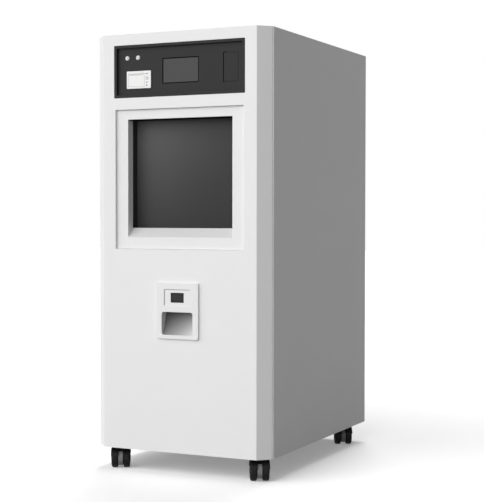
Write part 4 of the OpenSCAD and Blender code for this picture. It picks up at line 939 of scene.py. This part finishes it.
class BuildDrawer(SterilizerStep):
    """Front of the cassette drawer with its finger scoop, window and tray"""

    bl_idname = "sterilizer.drawer"
    bl_label = "Drawer"

    seat_w, seat_h, seat_depth = 112, 63, 2
    pane_w, pane_h = 56, 37
    edge, scoop_edge, seat_edge, pane_edge = 1.2, 1, 0.3, 0.4
    groove, scoop_wall, scoop_r = 2, 2, 9
    tray_x, tray_rise, tray_t, tray_side_h, tray_back_h = 76, 16, 2.5, 60, 30

    def execute(self, context):
        s = context.scene.ps_drawer
        low, high = span("drawer_front")
        back = FRONT - 0.3 - low[1]
        face = Shape()
        self.plate(s, face, front_at(low[1]), back)
        self.grooves(face, low[1])
        self.scoop(s, face, front_at(low[1]), back)
        self.tray(face, low[1] + back - 0.5, high[1], low[2] + self.tray_rise)
        face.piece("drawer_face", ["white_plastic", "scoop_grey", "groove_grey"],
                   ["drawer_front"], "cassette_drawer")
        self.window()
        return {"FINISHED"}

    def rows(self, s, grow=0):
        """Half width and height at each row of the scoop, from its top down."""
        z = span("drawer_front")[0][2] + s.scoop_rise + s.scoop_h / 2
        w, h, r = s.scoop_w / 2 + grow, s.scoop_h / 2 + grow, self.scoop_r + grow
        turns = [radians(a) for a in range(0, 91, 15)]
        corner = [(w - r + r * sin(a), h - r + r * cos(a)) for a in turns]
        side = [(w, (h - r) * (1 - k / 8)) for k in range(1, 16)]
        return [(u, z + v) for u, v in corner + side + [(u, -v) for u, v in corner[::-1]]]

    def plate(self, s, face, place, back):
        _, z, w, h = face_of("drawer_front")
        outline = rounded(0, z, w, h, s.corner)
        x, z = face_of("drawer_window")[:2]
        seat = rounded(x, z, self.seat_w, self.seat_h, 3)
        pane = rounded(x, z, self.pane_w, self.pane_h, 1)
        rows = self.rows(s)
        scoop = rows[::-1] + [(-u, v) for u, v in rows]
        face.wall(outline, [(-g, d) for g, d in edge_steps(self.edge)] + [(0, back)], place)
        face.wall(seat, edge_steps(self.seat_edge) + [(0, self.seat_depth)], place)
        face.wall(pane, [(g, self.seat_depth + d) for g, d in edge_steps(self.pane_edge)] + [(0, back)], place)
        face.wall(scoop, edge_steps(self.scoop_edge), place)
        face.fill([grown(outline, -self.edge), grown(seat, self.seat_edge), grown(scoop, self.scoop_edge)],
                  place, 0)
        face.fill([seat, grown(pane, self.pane_edge)], place, self.seat_depth)
        face.fill([outline, pane, grown(scoop, self.scoop_wall)], place, back)

    def grooves(self, face, y):
        """Painted shade: narrow dark lines at the top and the left of the window's seat."""
        x, z = face_of("drawer_window")[:2]
        w, h, line = self.seat_w / 2, self.seat_h / 2, self.groove
        near, far = y + self.seat_depth - 0.3, y + self.seat_depth + 0.2
        face.box((x - w, near, z + h - line), (x + w, far, z + h), 0, tone=2)
        face.box((x - w, near, z - h), (x - w + line, far, z + h - line), 0, tone=2)

    def scoop(self, s, face, place, back):
        """Curved inside of the scoop, and its outside behind the plate."""
        run = s.scoop_depth - s.scoop_foot
        radius = (s.scoop_h ** 2 + run ** 2) / (2 * run)
        rows = self.rows(s)
        top = rows[0][1]

        def depth(z):
            return s.scoop_depth - radius + sqrt(max(0, radius ** 2 - (top - z) ** 2))

        self.shell(face, place, rows, depth, self.scoop_edge, 1)
        t = self.scoop_wall
        self.shell(face, place, self.rows(s, t), lambda z: depth(min(z, top)) + t, back, 0)

    def shell(self, face, place, rows, depth, start, tone):
        """Walls from depth start to the scoop's curved back, and that back."""
        n = len(rows)
        points = [place(side * u, v, depth(v) if deep else start)
                  for deep in (True, False) for side in (-1, 1) for u, v in rows]
        back = [[i, i + 1, n + i + 1, n + i] for i in range(n - 1)]
        back += [[2 * n + i, 3 * n + i, n + i, i] for i in (0, n - 1)]
        walls = []
        for i in range(n - 1):
            for k in (0, n):
                walls.append([2 * n + k + i, 2 * n + k + i + 1, k + i + 1, k + i])
        face.add(points, back + walls, [tone] * len(back) + [0] * len(walls))

    def tray(self, face, y0, y1, z):
        x, t = self.tray_x, self.tray_t
        face.box((-x, y0, z), (x, y1, z + t), 0.4)
        face.box((-x, y0, z), (t - x, y1, z + self.tray_side_h), 0.4)
        face.box((x - t, y0, z), (x, y1, z + self.tray_side_h), 0.4)
        face.box((-x, y1 - t, z), (x, y1, z + self.tray_back_h), 0.4)

    def window(self):
        x, z, w, h = face_of("drawer_window")
        y = span("drawer_window")[0][1]
        pane = Shape()
        pane.plate(rounded(x, z, w, h, 1), (), 3, 0.4, front_at(y))
        pane.plate(rounded(x, z, w + 0.8, h + 0.8, 1), [rounded(x, z, w - 5, h - 5, 1)], 0.8, 0.3,
                   front_at(y - 0.4), tone=1)
        looks = ["window", "black_line"]
        pane.piece("window_pane", looks, ["drawer_window"], "cassette_drawer")


class BuildCasters(SterilizerStep):
    """Hoods and twin wheels of the casters"""

    bl_idname = "sterilizer.casters"
    bl_label = "Casters"

    guard_gap, guard_t, plate_t = 1.5, 2, 3
    axle_r, cap_r, disc_r = 5, 4, 27

    def execute(self, context):
        s = context.scene.ps_caster
        for corner in ("fl", "fr", "rl", "rr"):
            axle = middle("caster_wheels_" + corner)
            self.wheels(s, corner, axle)
            self.hood(s, corner, axle)
        return {"FINISHED"}

    def place(self, s, shape, axle):
        """Turns the shape by the caster's swivel and puts it round the axle."""
        a = radians(s.swivel)
        shape.verts = [(axle[0] + u * cos(a) - v * sin(a), axle[1] + u * sin(a) + v * cos(a), axle[2] + w)
                       for u, v, w in shape.verts]

    def wheels(self, s, corner, axle):
        shape = Shape()
        r, inner, outer = axle[2], s.gap / 2, s.gap / 2 + s.width
        # Radii and distances from the wheel's inner and its outer side
        near = [(self.axle_r, 0), (r - 7, 0), (r - 4, 0.8), (r - 1.2, 3.2), (r, 6)]
        far = [(r, -6), (r - 1.2, -3.2), (r - 4, -0.8), (r - 7, 0), (r - 8.5, -0.6), (r - 9.5, -1.6),
               (r - 15, -1.6), (14.5, -1.4), (13.6, -0.2), (12.5, 1.4), (9, 2), (3, 2), (0, 1.8)]
        cap = [(0, 2.2), (self.cap_r - 0.6, 2.2), (self.cap_r, 1.6)]
        tread = [(a, inner + t) for a, t in near] + [(a, outer + t) for a, t in far]
        for sign in (-1, 1):
            shape.turned([(a, sign * t) for a, t in tread], (0, 0, 0), "x", 64)
            shape.turned([(a, sign * (outer + t)) for a, t in cap], (0, 0, 0), "x", 24, tone=1)
        shape.turned([(self.axle_r, -inner), (self.axle_r, inner)], (0, 0, 0), "x", 24, tone=1)
        self.place(s, shape, axle)
        name = "wheels_" + corner
        shape.piece(name, ["tyre_black", "zinc"], ["caster_" + name], name)

    def hood(self, s, corner, axle):
        shape = Shape()
        web = s.gap / 2 - 1
        self.guards(s, shape, axle[2] + self.guard_gap + self.guard_t, web)
        self.web(s, shape, axle[2], web)
        head = LOW - self.plate_t - axle[2]
        rim = self.disc_r - 1
        disc = [(0, head - 7.5), (rim, head - 7.5), (self.disc_r, head - 6.5), (self.disc_r, head - 1.4),
                (rim, head - 0.4), (0, head - 0.4)]
        shape.turned(disc, (0, s.trail, 0), "z", 48, tone=2)
        self.place(s, shape, axle)
        name, looks = "hood_" + corner, ["tyre_black", "web_grey", "dark_steel"]
        shape.piece(name, looks, ["caster_" + name], "caster_" + corner)

    def guards(self, s, shape, r, web):
        """Guard over each wheel, with an arc between the two."""
        half = s.gap / 2 + s.width + 2
        for sign in (-1, 1):
            rings = []
            for u, drop in ((half, 5), (half - 0.8, 2.2), (half - 3, 0.5), (half - 7, 0), (web + 1.5, 0),
                            (web - 0.5, 0.8), (web - 0.5, 3)):
                outer = arc(0, 0, r - drop, 18, 162, 28)
                inner = arc(0, 0, r - self.guard_t - min(drop, 3.5), 162, 18, 28)
                rings.append([(sign * u, v, w) for v, w in outer + inner])
            shape.loft(rings)
        crown = arc(0, 0, r - 0.6, 42, 130, 14) + arc(0, 0, r - 4, 130, 42, 14)
        shape.loft([[(u, v, w) for v, w in crown] for u in (-web - 0.4, web + 0.4)])

    def web(self, s, shape, wheel_r, half):
        """Web between the wheels, from the axle up to the bearing disc."""
        back, head, foot = s.trail + 11, LOW - self.plate_t - wheel_r - 3.2, -27
        leaf = arc(0, 0, wheel_r - 3, 200, 340, 20) + [(back, 12), (back, head)]
        leaf = [(v, w) for v, w in leaf + arc(0, 0, wheel_r - 1, 95, 195, 14) if w > foot]
        profile = (-half, -0.8), (0.8 - half, 0), (half - 0.8, 0), (half, -0.8)
        shape.loft([[(u, v, w) for v, w in grown(leaf, g)] for u, g in profile], tone=1)


STEPS = (BuildStage, ApplyFinishes, BuildCabinet, BuildRear, BuildControlPanel, BuildPrinter, BuildButtons,
         BuildDoor, BuildDrawer, BuildCasters)


class SterilizerPanel(bpy.types.Panel):
    """Buttons for the building steps"""

    bl_idname = "VIEW3D_PT_sterilizer"
    bl_label = "Sterilizer"
    bl_space_type = "VIEW_3D"
    bl_region_type = "UI"
    bl_category = "Sterilizer"

    def draw(self, context):
        for step in STEPS:
            self.layout.operator(step.bl_idname)
        for name, group in SETTINGS.items():
            box = self.layout.box()
            box.label(text=group.__name__)
            for key in group.__annotations__:
                box.prop(getattr(context.scene, name), key)


CLASSES = (*SETTINGS.values(), *STEPS, SterilizerPanel)


def register():
    for item in CLASSES:
        bpy.utils.register_class(item)
    for name, group in SETTINGS.items():
        setattr(bpy.types.Scene, name, PointerProperty(type=group))


def unregister():
    for name in SETTINGS:
        delattr(bpy.types.Scene, name)
    for item in reversed(CLASSES):
        bpy.utils.unregister_class(item)


def main():
    register()
    bpy.ops.sterilizer.stage()
    bpy.ops.sterilizer.finishes()
    bpy.ops.sterilizer.cabinet()
    bpy.ops.sterilizer.rear()
    bpy.ops.sterilizer.control_panel()
    bpy.ops.sterilizer.printer()
    bpy.ops.sterilizer.buttons()
    bpy.ops.sterilizer.door()
    bpy.ops.sterilizer.drawer()
    bpy.ops.sterilizer.casters()


if __name__ == "__main__":
    main()
